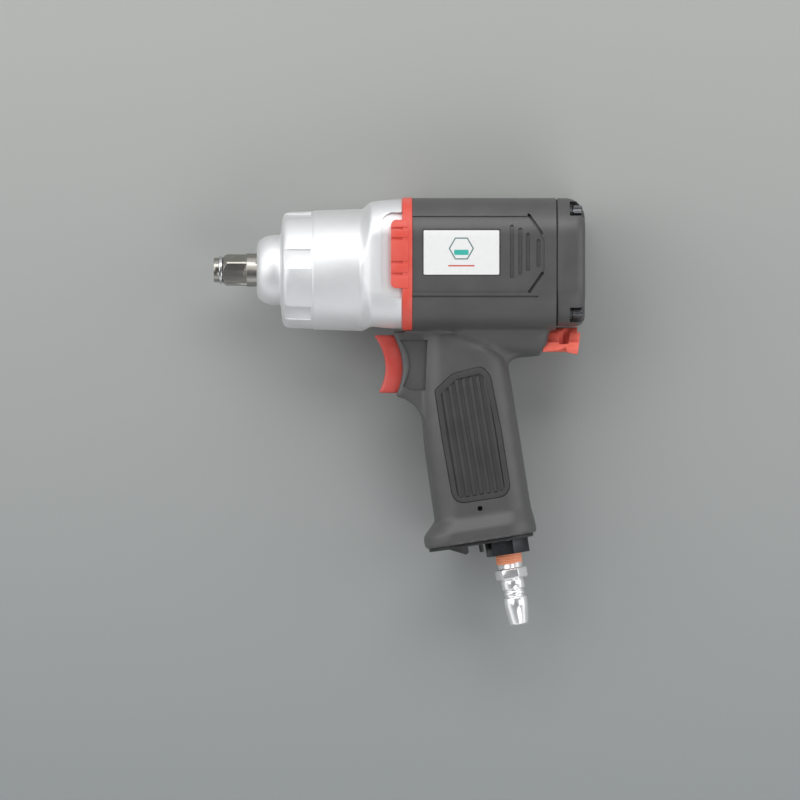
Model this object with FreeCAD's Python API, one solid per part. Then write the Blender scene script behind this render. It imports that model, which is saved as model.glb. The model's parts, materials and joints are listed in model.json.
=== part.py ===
"""Half-inch air impact wrench with a twin-hammer mechanism and a vane motor, as it lies on its right side.

Row frame, millimetres. The origin is the centre of the drive square's front face. The drive axis is X, and the
square points along -X. +Y is the top of the tool and the handle hangs down along -Y, leaning to the rear.
+Z is the tool's left side, which faces up as the tool lies on a bench.
"""

import FreeCAD
import Part
import math
import os

V = FreeCAD.Vector
AXIS_X = V(1, 0, 0)
AXIS_Y = V(0, 1, 0)
AXIS_Z = V(0, 0, 1)
FAR = 200.0            # longer than any cut has to reach

# Clearances between pieces
slip = 0.05            # radial gap of a running fit
seat = 0.02            # gap of a fit that doesn't move
gap = 0.2              # gap between pieces that must not touch
swing_gap = 0.3        # gap left at the end of a hammer's swing

# Anvil: the square that a socket fits, its journal and its two jaws
drive_square = 12.7
square_turn = 20.0     # how far the square stands turned about the drive axis, degrees
square_length = 16.5
square_corner = 1.0    # flat broken off each corner of the square
ring_groove_at = 3.4   # from the tip to the middle of the friction ring
ring_width = 1.7
ring_thickness = 1.3
ring_groove_depth = 1.1
ring_split = 1.2
cushion_thickness = 0.3
tip_inset = 0.2        # how far the square's tip stands inside its flats
shoulder_length = 5.0
journal_radius = 8.3
journal_slope = 1.6     # length of the cone from the square to the journal
core_radius = 8.0
jaw_height = 3.3       # how far a jaw stands out of the core
jaw_width = 6.0
pilot_radius = 6.0

# Hammer case
cavity_radius = 25.5
case_front_wall = 3.5
case_rear_wall = 5.0
nose_length = 12.0
nose_radius = 17.5
nose_edge = 4.0
case_front_slope = 3.0
case_edge = 1.5
case_wall = 4.4        # thickness of the case's front wall
flare_length = 6.0
flange_length = 14.75
flange_inset = 0.5     # how far the flange stands inside the housing's outline
flange_slope = 1.2
pocket_count = 6
pocket_length = 12.0
pocket_depth = 1.2
pocket_width = 10.0
pocket_turn = 19.5     # the first pocket's place round the drive axis, degrees from +Y
bush_wall = 2.7
bush_flange = 1.2      # thickness of the nose bushing's flange
bush_flange_reach = 2.5
nose_seal_width = 1.2

# Twin-hammer mechanism
hammer_thickness = 16.0
hammer_gap = 1.0
hammer_swing = 5.5     # each way, degrees
hammer_side_gap = 3.5  # from the hammer's round sides to the case
hammer_end_gap = 1.5   # from the hammer's flats to the cage's struts
jaw_gap = 1.1          # from a jaw's tip to the hammer's bore
dog_height = 2.5       # how far a dog stands into the hammer's bore
dog_root = 0.5         # how far a dog reaches into the hammer's body
dog_width = 3.0
cage_clearance = 1.0
cage_front_plate = 5.0
cage_rear_plate = 6.0
cage_runout = 0.4
collar_reach = 3.6     # how far the anvil's collar stands out of its core
collar_length = 2.0    # from the bushing to the cage
strut_thickness = 2.6
strut_width = 16.0
pin_radius = 3.0
pin_proud = 1.0        # how far a pin stands out of the hammer's flat
pin_end_gap = 0.5
hub_radius = 11.0
hub_length = 8.0
spline_flats = 12.0    # across the flats of the rotor's front end
spline_clearance = 0.1

# Vane motor
motor_radius = 25.0
plate_thickness = 8.0
cylinder_length = 48.0
cylinder_wall = 3.5
cylinder_offset = 1.9
rotor_clearance = 0.1
shaft_radius = 6.0
vane_count = 6
vane_thickness = 1.8
vane_depth = 10.6
slot_floor_gap = 0.4
port_count = 6
port_radius = 1.8
port_turn = 60.0
dowel_radius = 1.5
dowel_end_gap = 2.0
bearing_height = 6.0   # from the shaft to the bearing's outside
bearing_width = 6.0
race_thickness = 1.5
ball_count = 9
ball_radius = 1.7
retainer_thickness = 0.8
retainer_width = 3.8
ball_pocket_gap = 0.03
spigot_length = 6.0

# Motor housing's outline across the drive axis
side_wall = 8.0
top_wall = 10.6
bottom_wall = 5.0
cavity_in_wall = 0.5   # how far the hammers' cavity may reach into the barrel's wall
barrel_corner = 20.0
shoulder_width = 1.5   # ring that the motor's front end plate stands against
shoulder_height = 5.0
label_length = 37.5
label_height = 22.0
label_centre = 8.25
label_thickness = 0.3
label_from_front = 5.6

# Collar ring between case and housing, with a thumb pad on each side
collar_width = 5.0
collar_proud = 0.3
pad_height = 34.0
pad_centre = 7.5       # height of the pad's middle above the drive axis
pad_reach = 5.6        # how far the pad reaches forward of the ring
pad_depth = 3.0

# End cap, gasket and bolts
gasket_thickness = 0.6
gasket_inset = 0.8
cap_length = 13.8
cap_edge = 5.4
cap_step = 1.8         # how far the cap's underside stands above the housing's
cap_hollow_wall = 2.0
bolt_radius = 2.5
bolt_from_side = 10.5
bolt_from_top = 8.1
bolt_from_bottom = 10.0
bolt_grip = 10.5       # how far a bolt reaches into the hammer case
bolt_head_radius = 4.3
bolt_head_length = 5.0
bolt_key = 4.0
bolt_key_depth = 2.8
bolt_pocket_gap = 2.3
bolt_pocket_reach = 6.0      # how far the pocket opens towards the cap's corner
bolt_seat = 7.6        # from the cap's rear face to the face under the lock washer
washer_width = 2.3
washer_thickness = 1.2

# Handle: local a runs from its axis to the rear, local b runs down it
handle_lean = 9.0
handle_from_barrel = 12.85   # where the handle's axis crosses the drive axis, behind the housing's front
handle_length = 137.0
grip_front = 21.2
grip_rear = 27.2
grip_half_width = 19.0
grip_corner = 15.0
base_front = 28.3
base_rear = 28.3
base_half_width = 22.0
base_corner = 16.0
base_height = 12.5
inlet_a = 12.5         # how far the valve and the inlet stand behind the handle's axis

# Trigger
trigger_travel = 6.0
trigger_width = 15.0
trigger_guard_width = 24.0
trigger_below_barrel = 2.6
trigger_length = 28.9
trigger_sweep = 4.5    # depth of the finger hollow in the trigger's front
trigger_thickness = 12.0
trigger_from_ring = 13.0
trigger_back_lean = 2.5
trigger_slot_gap = 0.3
guard_margin = 1.9
guard_setback = 8.5    # from the trigger's front to the guard's lip
rod_radius = 2.2
rod_drop = 13.4        # from the trigger's top to its rod
rod_end_gap = 0.1
cross_pin_radius = 1.0
cross_pin_inset = 0.5
rod_bush_wall = 2.3
rod_bush_length = 8.0
rod_seal_width = 1.7

# Throttle valve in the handle
chamber_radius = 8.7
chamber_top = 40.0     # down the handle
seat_depth = 80.0      # where the valve head closes, down the handle
seat_ring = 3.0
seat_bore = 4.6
valve_head_radius = 6.0
valve_head = 3.0
stem_radius = 1.5
stem_reach = 4.0       # how far the stem stands above the trigger's rod
spring_radius = 4.4
wire_radius = 0.5
spring_length = 14.0
spring_turns = 5.0
spring_seat_thickness = 1.2
spring_seat_bore = 3.0
screen_length = 11.0
screen_wall = 0.5
screen_inset = 1.0

# Air inlet: hexagonal bushing, its lock pin, and the coupler plug
inlet_radius = 11.0
inlet_depth = 25.0
inlet_hex = 19.4
inlet_hex_turn = 15.0
inlet_hex_height = 7.2
inlet_seal_depth = 6.0 # above the handle's foot
inlet_seal_width = 2.2
inlet_seal_thickness = 1.5
lock_pin_radius = 1.25
lock_pin_depth = 16.2  # above the handle's foot
lock_pin_a = 2.0
thread_radius = 6.55
thread_depth = 0.35
thread_length = 16.0
bushing_throat_wall = 1.5
seal_shown = 5.0
plug_neck = 2.2
plug_hex = 14.0
plug_hex_turn = 12.0
plug_hex_height = 5.3
plug_body_radius = 5.65
plug_body = 5.3
plug_groove_radius = 4.4
plug_groove = 3.7
plug_nose_radius = 5.8
plug_nose = 5.0
plug_taper = 9.0
plug_tip_radius = 4.6
plug_bore = 3.75

# Exhaust: muffler felt and deflector plate under the handle
deflector_thickness = 1.6
deflector_margin = 2.0
muffler_height = 10.0
muffler_wall = 3.0
exhaust_radius = 4.0
exhaust_z = 12.5
exhaust_a = -6.0
exhaust_top = 18.0
hood_front = -17.3
hood_drop = 4.0
hood_length = 9.0
hood_lip = 1.4
hood_half_width = 14.0
hood_wall = 1.5
post_half_width = 6.0
post_thickness = 2.0

# Reverse lever and its rotary valve, in the tail under the motor
lever_below_barrel = 4.8
lever_hub_radius = 6.2
lever_length = 16.0
lever_drop = 8.0       # how far the lever's foot hangs under its axis
lever_foot = 7.5       # half width of the foot
lever_swing = 28.0     # each way, degrees
lever_slot_start = 4.2
lever_slot = 7.0
lever_slot_floor = 3.6
lever_web = 2.5
lever_gap = 0.4
lever_well_gap = 0.35  # between the lever's foot and the well in the tail that it swings in
tail_below_lever = 8.7
tail_half_width = 15.0
tail_lean = 4.0
tail_setback = 3.6
tail_front = 10.0
spindle_radius = 5.6
spindle_neck = 4.4
spindle_reach = 7.0
spindle_cut = 7.0      # length of the flat that steers the air
sleeve_wall = 1.4
valve_length = 22.0
detent_share = 0.6     # where the detent stands along the valve
detent_radius = 1.5
detent_depth = 0.5
detent_wire = 0.25
detent_turns = 4.0
detent_cover = 2.0
detent_key = 1.3
lever_screw_radius = 2.0
lever_screw_head = 3.4
lever_screw_head_length = 2.0
lever_screw_key = 2.5

# Radii worked out from the sizes above
case_front_radius = cavity_radius + case_front_wall
case_rear_radius = cavity_radius + case_rear_wall
bush_radius = journal_radius + bush_wall
cage_radius = cavity_radius - cage_clearance
strut_inner = cage_radius - strut_thickness
hammer_radius = cavity_radius - hammer_side_gap
hammer_flat = strut_inner - hammer_end_gap
pin_circle = hammer_flat + pin_proud - pin_radius
collar_radius = core_radius + collar_reach
jaw_radius = core_radius + jaw_height
hammer_bore = jaw_radius + jaw_gap
dog_radius = hammer_bore - dog_height
cylinder_bore = motor_radius - cylinder_wall
rotor_radius = cylinder_bore - cylinder_offset - rotor_clearance
bearing_outer = shaft_radius + bearing_height
rod_bush_radius = rod_radius + rod_bush_wall
sleeve_radius = spindle_radius + sleeve_wall
thread_core = thread_radius - thread_depth

# The housing's outline, drawn about the wider of the motor and the hammers' cavity, and what hangs under it
inner_radius = max(motor_radius, cavity_radius - cavity_in_wall)
barrel_half_width = inner_radius + side_wall
barrel_top = inner_radius + top_wall
barrel_bottom = inner_radius + bottom_wall
cap_bottom = barrel_bottom - cap_step
bolt_z = barrel_half_width - bolt_from_side
bolt_top = barrel_top - bolt_from_top
bolt_bottom = bolt_from_bottom - barrel_bottom
trigger_top = -barrel_bottom - trigger_below_barrel
trigger_bottom = trigger_top - trigger_length
rod_y = trigger_top - rod_drop
lever_y = -barrel_bottom - lever_below_barrel
tail_bottom = lever_y - tail_below_lever

# Places along the drive axis
nose_x = square_length + shoulder_length
case_x = nose_x + nose_length
wall_x = case_x + case_wall
collar_x = wall_x + bush_flange + 2 * slip
cage_x = collar_x + collar_length + pin_end_gap
collar_end_x = cage_x + cage_front_plate + cage_runout / 2
hammer1_x = cage_x + cage_front_plate + cage_runout
hammer2_x = hammer1_x + hammer_thickness + hammer_gap
rear_plate_x = hammer2_x + hammer_thickness + cage_runout
hub_x = rear_plate_x + cage_rear_plate
ring_x = hub_x + hub_length - 0.35
flange_x = ring_x - flange_length
flare_x = flange_x - flare_length
housing_x = ring_x + collar_width
front_plate_x = housing_x + shoulder_width
cylinder_x = front_plate_x + plate_thickness
rear_motor_plate_x = cylinder_x + cylinder_length
motor_end_x = rear_motor_plate_x + plate_thickness
housing_end_x = motor_end_x + spigot_length
cap_x = housing_end_x + gasket_thickness
rear_x = cap_x + cap_length
handle_x = housing_x + handle_from_barrel
tail_x = housing_end_x - tail_setback

PARTS = {}


def keep(name, shape):
    """Keeps a sub-part under the name of its node, with faces of one surface joined."""
    PARTS[name] = shape.removeSplitter() if shape.ShapeType != "Compound" else shape


def rod(radius, x0, x1, y=0.0, z=0.0):
    """A round bar along the drive axis."""
    return Part.makeCylinder(radius, x1 - x0, V(x0, y, z), AXIS_X)


def tube(outer, inner, x0, x1, y=0.0, z=0.0):
    """A round tube along the drive axis."""
    return rod(outer, x0, x1, y, z).cut(rod(inner, x0 - 1, x1 + 1, y, z))


def block(x0, x1, y0, y1, z0, z1):
    return Part.makeBox(x1 - x0, y1 - y0, z1 - z0, V(x0, y0, z0))


def plate(points, half_width):
    """A flat outline in the XY plane, made as thick as twice half_width about the middle plane."""
    outline = [V(x, y, -half_width) for x, y in points]
    outline.append(outline[0])
    return Part.Face(Part.makePolygon(outline)).extrude(V(0, 0, 2 * half_width))


def hexagon(flats, height, base, direction, turn=0.0):
    """A hexagonal bar standing on base along direction, turned about its own axis."""
    radius = flats / math.sqrt(3)
    points = []
    for k in range(7):
        angle = math.radians(60 * k + turn)
        points.append(V(radius * math.cos(angle), radius * math.sin(angle), 0))
    bar = Part.Face(Part.makePolygon(points)).extrude(V(0, 0, height))
    bar.Placement = FreeCAD.Placement(base, FreeCAD.Rotation(AXIS_Z, direction))
    return bar


def round_wire(x_low, x_high, y_low, y_high, corner, place):
    """A closed outline with four round corners, each point put in space by place(x, y)."""
    half = math.sqrt(0.5)
    corners = [
        (x_high - corner, y_high - corner, 1, 1),
        (x_low + corner, y_high - corner, -1, 1),
        (x_low + corner, y_low + corner, -1, -1),
        (x_high - corner, y_low + corner, 1, -1),
    ]
    edges = []
    points = []
    for k, (cx, cy, sx, sy) in enumerate(corners):
        on_x = place(cx + sx * corner, cy)
        on_y = place(cx, cy + sy * corner)
        middle = place(cx + sx * corner * half, cy + sy * corner * half)
        start, end = (on_x, on_y) if k % 2 == 0 else (on_y, on_x)
        if points:
            edges.append(Part.LineSegment(points[-1], start).toShape())
        edges.append(Part.Arc(start, middle, end).toShape())
        points += [start, end]
    edges.append(Part.LineSegment(points[-1], points[0]).toShape())
    return Part.Wire(edges)


def barrel_wire(x, grow=0.0, bottom=barrel_bottom):
    """The housing's outline across the drive axis at x, grown outwards by grow."""
    wide = barrel_half_width + grow
    return round_wire(-wide, wide, -bottom - grow, barrel_top + grow, barrel_corner, lambda z, y: V(x, y, z))


def barrel(x0, x1, grow=0.0, bottom=barrel_bottom):
    return Part.Face(barrel_wire(x0, grow, bottom)).extrude(V(x1 - x0, 0, 0))


def in_handle(shape):
    """Puts a shape drawn in the handle's own frame (x = a, y = -b) into the row frame."""
    turn = FreeCAD.Rotation(AXIS_Z, handle_lean)
    placed = shape.copy()
    placed.Placement = FreeCAD.Placement(V(handle_x, 0, 0), turn).multiply(placed.Placement)
    return placed


def down(radius, b0, b1, a=inlet_a, z=0.0):
    """A round bar down the handle, in the handle's own frame."""
    return Part.makeCylinder(radius, b1 - b0, V(a, -b0, z), V(0, -1, 0))


def hex_down(flats, b0, b1, turn):
    """A hexagonal bar down the handle, on the inlet's axis."""
    return hexagon(flats, b1 - b0, V(inlet_a, -b0, 0), V(0, -1, 0), turn)


def down_ring(outer, inner, b0, b1):
    """A ring about the inlet's axis, in the handle's own frame."""
    return down(outer, b0, b1).cut(down(inner, b0 - 1, b1 + 1))


def handle_wire(b, front, rear, half_width, corner):
    return round_wire(-front, rear, -half_width, half_width, corner, lambda a, z: V(a, -b, z))


def coil(radius, wire, length, turns, base, direction):
    """An open coil spring standing on base."""
    helix = Part.makeHelix(length / turns, length, radius)
    circle = Part.Wire(Part.Circle(V(radius, 0, 0), AXIS_Y, wire).toShape())
    spring = Part.Wire(helix).makePipeShell([circle], True, True)
    spring.Placement = FreeCAD.Placement(base, FreeCAD.Rotation(AXIS_Z, direction))
    return spring


def both_sides(shape):
    return [shape, shape.mirror(V(0, 0, 0), AXIS_Z)]


def bolt_places():
    return [(y, z) for y in (bolt_top, bolt_bottom) for z in (-bolt_z, bolt_z)]


# ---------------------------------------------------------------- anvil
def make_anvil():
    """Square drive, journal, pilot collar and two jaws, one for each hammer."""
    half = drive_square / 2
    ring_x0 = ring_groove_at - ring_width / 2
    ring_x1 = ring_x0 + ring_width
    neck = half - ring_groove_depth
    tip = half - tip_inset

    square = block(ring_x1, square_length, -half, half, -half, half)
    square = square.common(rod(half * math.sqrt(2) - square_corner / 2, 0, square_length))
    chamfer = Part.makeCone(tip, tip + FAR, FAR, V(ring_x1, 0, 0), AXIS_X)
    square = square.common(chamfer)
    square.rotate(V(0, 0, 0), AXIS_X, square_turn)
    pilot_x = rear_plate_x - cage_runout / 2
    slope = Part.makeCone(half, journal_radius, journal_slope, V(square_length - journal_slope, 0, 0), AXIS_X)
    bars = [
        slope,
        rod(tip, 0, ring_x0),
        rod(neck, ring_x0, ring_x1),
        rod(journal_radius, square_length, collar_x),
        rod(collar_radius, collar_x, collar_end_x),
        rod(core_radius, collar_end_x, pilot_x),
        rod(pilot_radius, pilot_x, hub_x - pin_end_gap),
    ]
    shape = square.fuse(bars)
    for x, side in ((hammer1_x, -1), (hammer2_x, 1)):
        low, high = (-FAR, 0) if side < 0 else (0, FAR)
        jaw = block(x + gap, x + hammer_thickness - gap, low, high, -jaw_width / 2, jaw_width / 2)
        shape = shape.fuse(jaw.common(rod(jaw_radius, x, x + hammer_thickness)))
    keep("anvil", shape)

    inner = neck + cushion_thickness
    ring = tube(inner + ring_thickness, inner, ring_x0 + gap / 2, ring_x1 - gap / 2)
    keep("friction_ring", ring.cut(block(0, square_length, 0, FAR, -ring_split / 2, ring_split / 2)))
    keep("ring_cushion", tube(inner - slip, neck + seat, ring_x0 + gap, ring_x1 - gap))


# ---------------------------------------------------------------- hammer case
def thumb_pads(grow=0.0):
    """The two pads of the collar ring, or their pockets in the case when grown."""
    front = ring_x - pad_reach - grow
    low = pad_centre - pad_height / 2 - grow
    floor = barrel_half_width - pad_depth - grow
    pad = block(front, ring_x, low, low + pad_height + 2 * grow, floor, FAR)
    return both_sides(pad.common(barrel(front, ring_x, collar_proud + grow)))


def make_hammer_case():
    """Aluminium case: nose, round front with six flat pockets, and a flange shaped like the housing."""
    slope_x = case_x + case_front_slope
    outline = [
        (nose_x, 0),
        (nose_x, nose_radius - nose_edge),
        (nose_x + nose_edge * 0.3, nose_radius - nose_edge * 0.3),
        (nose_x + nose_edge, nose_radius),
        (case_x, nose_radius),
        (slope_x, case_front_radius - case_edge),
        (slope_x + case_edge, case_front_radius),
        (flare_x, case_rear_radius),
        (flare_x, 0),
        (nose_x, 0),
    ]
    profile = Part.makePolygon([V(x, y, 0) for x, y in outline])
    front = Part.Face(profile).revolve(V(0, 0, 0), AXIS_X, 360)
    for k in range(pocket_count):
        floor = case_front_radius - pocket_depth
        half = pocket_width / 2
        cut = block(case_x, slope_x + pocket_length, floor, FAR, -half, half)
        cut.rotate(V(0, 0, 0), AXIS_X, pocket_turn + 360.0 / pocket_count * k)
        front = front.cut(cut)
    round_end = round_wire(
        -case_rear_radius, case_rear_radius, -case_rear_radius, case_rear_radius,
        case_rear_radius - slip, lambda z, y: V(flare_x, y, z),
    )
    wide = barrel_wire(flange_x, -flange_slope - flange_inset)
    flare = Part.makeLoft([round_end, wide], True, True)
    flange = Part.makeLoft([wide, barrel_wire(ring_x, -flange_inset)], True, True)
    shape = front.fuse([flare, flange])
    shape = shape.cut(rod(cavity_radius, wall_x, ring_x + 1))
    shape = shape.cut(rod(bush_radius + seat, nose_x - 1, wall_x + 1))
    for y, z in bolt_places():
        shape = shape.cut(rod(bolt_radius + seat, ring_x - bolt_grip - gap, ring_x + 1, y, z))
    for pad in thumb_pads(gap):
        shape = shape.cut(pad)
    keep("hammer_case", shape)

    inner = journal_radius + slip
    seal_x = nose_x + gap
    bush = tube(bush_radius, inner, seal_x + nose_seal_width + gap / 2, wall_x)
    flange = tube(bush_radius + bush_flange_reach, inner, wall_x, wall_x + bush_flange)
    keep("nose_bushing", bush.fuse(flange))
    keep("nose_seal", tube(bush_radius, inner, seal_x, seal_x + nose_seal_width))


def make_collar_ring():
    """Red spacer between the case and the housing."""
    ring = barrel(ring_x, housing_x, collar_proud).cut(rod(cavity_radius, ring_x - 1, housing_x + 1))
    for y, z in bolt_places():
        ring = ring.cut(rod(bolt_radius + gap, ring_x - 1, housing_x + 1, y, z))
    keep("collar_ring", ring.fuse(thumb_pads()))


# ---------------------------------------------------------------- twin hammers
def make_hammer(name, x, side):
    """One swinging hammer: it pivots on the pin at side, and the other pin limits its swing."""
    swing = math.sin(math.radians(hammer_swing))
    end = x + hammer_thickness
    disc = rod(hammer_radius, x, end).common(block(x, end, -hammer_flat, hammer_flat, -FAR, FAR))
    disc = disc.cut(rod(hammer_bore, x - 1, end + 1))
    flank = jaw_width / 2 + (pin_circle + dog_radius) * swing + swing_gap
    ring = tube(hammer_bore + dog_root, dog_radius, x, end)
    for z0, z1 in ((flank, flank + dog_width), (-flank - dog_width, -flank)):
        disc = disc.fuse(block(x, end, -FAR, 0, z0, z1).common(ring))
    disc = disc.cut(rod(pin_radius + slip, x - 1, end + 1, pin_circle))
    reach = pin_radius + 2 * pin_circle * swing + 2 * gap
    inner = pin_circle - pin_radius - 2 * gap
    disc = disc.cut(block(x - 1, end + 1, -FAR, -inner, -reach, reach))
    if side < 0:
        disc.rotate(V(0, 0, 0), AXIS_X, 180)
    keep(name, disc)


def make_cage():
    """Frame that carries both hammers on two pins, with a hub that the rotor drives."""
    front = tube(cage_radius, collar_radius + slip, cage_x, cage_x + cage_front_plate)
    rear = rod(cage_radius, rear_plate_x, hub_x)
    hub = rod(hub_radius, hub_x, hub_x + hub_length)
    struts = []
    for low, high in ((strut_inner, FAR), (-FAR, -strut_inner)):
        bar = block(cage_x, hub_x, low, high, -strut_width / 2, strut_width / 2)
        struts.append(bar.common(rod(cage_radius, cage_x, hub_x)))
    cage = front.fuse([rear, hub] + struts)
    cage = cage.cut(rod(pilot_radius + slip, rear_plate_x - 1, hub_x))
    socket = hexagon(spline_flats + 2 * spline_clearance, hub_length + 1, V(hub_x, 0, 0), AXIS_X)
    cage = cage.cut(socket)
    pins = []
    for y in (pin_circle, -pin_circle):
        cage = cage.cut(rod(pin_radius + seat, cage_x - 1, hub_x + 1, y))
        pins.append(rod(pin_radius, cage_x + pin_end_gap, hub_x - pin_end_gap, y))
    keep("hammer_cage", cage)
    keep("hammer_pins", Part.makeCompound(pins))


# ---------------------------------------------------------------- vane motor
def make_bearing(name, x):
    """Ball bearing: two races and a ring of balls in their retainer."""
    pitch = (shaft_radius + bearing_outer) / 2
    middle = x + bearing_width / 2
    groove = Part.makeTorus(pitch, ball_radius + slip, V(middle, 0, 0), AXIS_X)
    inner = tube(shaft_radius + race_thickness, shaft_radius + seat, x, x + bearing_width)
    outer = tube(bearing_outer, bearing_outer - race_thickness, x, x + bearing_width)
    keep(name + "_inner_race", inner.cut(groove))
    keep(name + "_outer_race", outer.cut(groove))
    half = retainer_thickness / 2
    retainer = tube(pitch + half, pitch - half, middle - retainer_width / 2, middle + retainer_width / 2)
    balls = []
    for k in range(ball_count):
        angle = 2 * math.pi * k / ball_count
        place = V(middle, pitch * math.cos(angle), pitch * math.sin(angle))
        balls.append(Part.makeSphere(ball_radius, place))
        retainer = retainer.cut(Part.makeSphere(ball_radius + ball_pocket_gap, place))
    keep(name + "_balls", Part.makeCompound(balls + retainer.Solids))


def make_stator():
    """Two end plates and the eccentric cylinder, held in line by a dowel."""
    shaft_hole = shaft_radius + 1.0
    bearing_end = bearing_width + seat
    front = rod(motor_radius, front_plate_x, cylinder_x)
    front = front.cut(rod(bearing_outer + seat, front_plate_x - 1, front_plate_x + bearing_end))
    front = front.cut(rod(shaft_hole, front_plate_x, cylinder_x + 1))
    rear = rod(motor_radius, rear_motor_plate_x, motor_end_x)
    rear = rear.cut(rod(bearing_outer + seat, motor_end_x - bearing_end, motor_end_x + 1))
    rear = rear.cut(rod(shaft_hole, rear_motor_plate_x - 1, motor_end_x))
    liner = rod(motor_radius, cylinder_x, rear_motor_plate_x)
    liner = liner.cut(rod(cylinder_bore, cylinder_x - 1, rear_motor_plate_x + 1, cylinder_offset))
    for k in range(port_count):
        x = cylinder_x + cylinder_length * (k + 1) / (port_count + 1)
        for turn in (port_turn, -port_turn):
            port = Part.makeCylinder(port_radius, FAR, V(x, 0, 0), AXIS_Y)
            port.rotate(V(x, 0, 0), AXIS_X, turn)
            liner = liner.cut(port)
    dowel_y = (cylinder_offset - cylinder_bore - motor_radius) / 2
    x0 = front_plate_x + dowel_end_gap
    x1 = motor_end_x - dowel_end_gap
    hole = rod(dowel_radius + seat, x0 - seat, x1 + seat, dowel_y)
    keep("front_end_plate", front.cut(hole))
    keep("cylinder", liner.cut(hole))
    keep("rear_end_plate", rear.cut(hole))
    keep("cylinder_dowel", rod(dowel_radius, x0, x1, dowel_y))


def make_rotor():
    """Rotor with its shaft, a hexagonal front end that drives the cage, and the vanes in their slots."""
    end_play = 0.1
    x0 = cylinder_x + end_play
    x1 = rear_motor_plate_x - end_play
    shaft = rod(shaft_radius, front_plate_x, motor_end_x - seat)
    nose_start = hub_x + 1.0
    nose = hexagon(spline_flats - seat, front_plate_x - nose_start, V(nose_start, 0, 0), AXIS_X)
    nose = nose.common(rod(shaft_radius + 0.7, hub_x, front_plate_x))
    rotor = rod(rotor_radius, x0, x1).fuse([shaft, nose])
    vanes = []
    half = vane_thickness / 2
    floor = rotor_radius - vane_depth
    for k in range(vane_count):
        slot = block(x0 - 1, x1 + 1, floor - slot_floor_gap, FAR, -half - slip, half + slip)
        vane = block(x0 + end_play, x1 - end_play, floor, FAR, -half, half)
        vane = vane.common(rod(rotor_radius - slip, x0, x1))
        for piece in (slot, vane):
            piece.rotate(V(0, 0, 0), AXIS_X, 360.0 * k / vane_count)
        rotor = rotor.cut(slot)
        vanes.append(vane)
    keep("rotor", rotor)
    keep("vanes", Part.makeCompound(vanes))


# ---------------------------------------------------------------- housing with handle
def trigger_front_x():
    return ring_x - trigger_from_ring


def trigger_back_x():
    return trigger_front_x() + trigger_thickness


def rod_bush_x():
    return trigger_back_x() + trigger_travel + trigger_sweep / 2 + 2.0


def trigger_outline(front_x, back_x, grow=0.0):
    """The trigger seen from the side: a hollow front for the finger, and a back parallel to it."""
    top = trigger_top + grow
    low = trigger_bottom - grow
    middle = (top + low) / 2
    front_top = V(front_x - 1.2, top, 0)
    front_middle = V(front_x + trigger_sweep, middle, 0)
    front_low = V(front_x + 1.0, low, 0)
    back_low = V(back_x, low, 0)
    back_middle = V(back_x + trigger_sweep / 2, middle, 0)
    back_top = V(back_x - trigger_back_lean, top, 0)
    edges = [
        Part.Arc(front_top, front_middle, front_low).toShape(),
        Part.LineSegment(front_low, back_low).toShape(),
        Part.Arc(back_low, back_middle, back_top).toShape(),
        Part.LineSegment(back_top, front_top).toShape(),
    ]
    return Part.Face(Part.Wire(edges))


def trigger_block(front_x, back_x, grow, half_width):
    shape = trigger_outline(front_x, back_x, grow).extrude(V(0, 0, 2 * half_width))
    shape.translate(V(0, 0, -half_width))
    return shape


def rod_meets_stem():
    """How far down the handle the trigger's rod crosses the valve's axis."""
    lean = math.radians(handle_lean)
    return (inlet_a * math.sin(lean) - rod_y) / math.cos(lean)


def stem_x():
    """Where the rod's line meets the valve's axis, along the drive axis."""
    lean = math.radians(handle_lean)
    return handle_x + inlet_a * math.cos(lean) + rod_meets_stem() * math.sin(lean)


def make_grip():
    """The handle, lofted from its neck under the barrel to its flared foot."""
    wall_b = handle_length - base_height
    sections = [
        handle_wire(10, 13, 24, 13, 8),
        handle_wire(36, 14, 26, 16.5, 11),
        handle_wire(62, 19, grip_rear, grip_half_width - 1.5, 14),
        handle_wire(90, grip_front - 0.4, grip_rear, grip_half_width, grip_corner),
        handle_wire(wall_b, grip_front, grip_rear, grip_half_width, grip_corner),
        handle_wire(wall_b + base_height / 2, base_front, base_rear, base_half_width, base_corner),
        handle_wire(handle_length, base_front - 0.8, base_rear, base_half_width, base_corner),
    ]
    return in_handle(Part.makeLoft(sections, True, True))


def make_tail():
    """Block under the motor that holds the reverse valve."""
    root = -barrel_bottom + 8
    points = [
        (handle_x + tail_front, root),
        (tail_x, root),
        (tail_x, -barrel_bottom),
        (tail_x - tail_lean, tail_bottom),
        (handle_x + tail_front + 8, tail_bottom),
    ]
    return plate(points, tail_half_width)


def make_guard():
    """Block behind the trigger, joined to the barrel behind the collar ring."""
    half = trigger_guard_width / 2
    lip_x = trigger_front_x() + guard_setback
    back = handle_x + 6
    guard = trigger_block(lip_x, back, guard_margin, half)
    link = block(housing_x, back, trigger_top, -barrel_bottom + 6, -half, half)
    return guard.fuse(link)


def muffler_block(shrink):
    """Felt in the front of the handle's foot, or its chamber when shrink is 0."""
    foot = handle_length
    return block(
        -grip_front + 2.5 + shrink, inlet_a - inlet_radius - 1.5 - shrink,
        -foot - (1 if shrink == 0.0 else 0.0), -foot + muffler_height - shrink,
        -grip_half_width + muffler_wall + shrink, grip_half_width - muffler_wall - shrink,
    )


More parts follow.
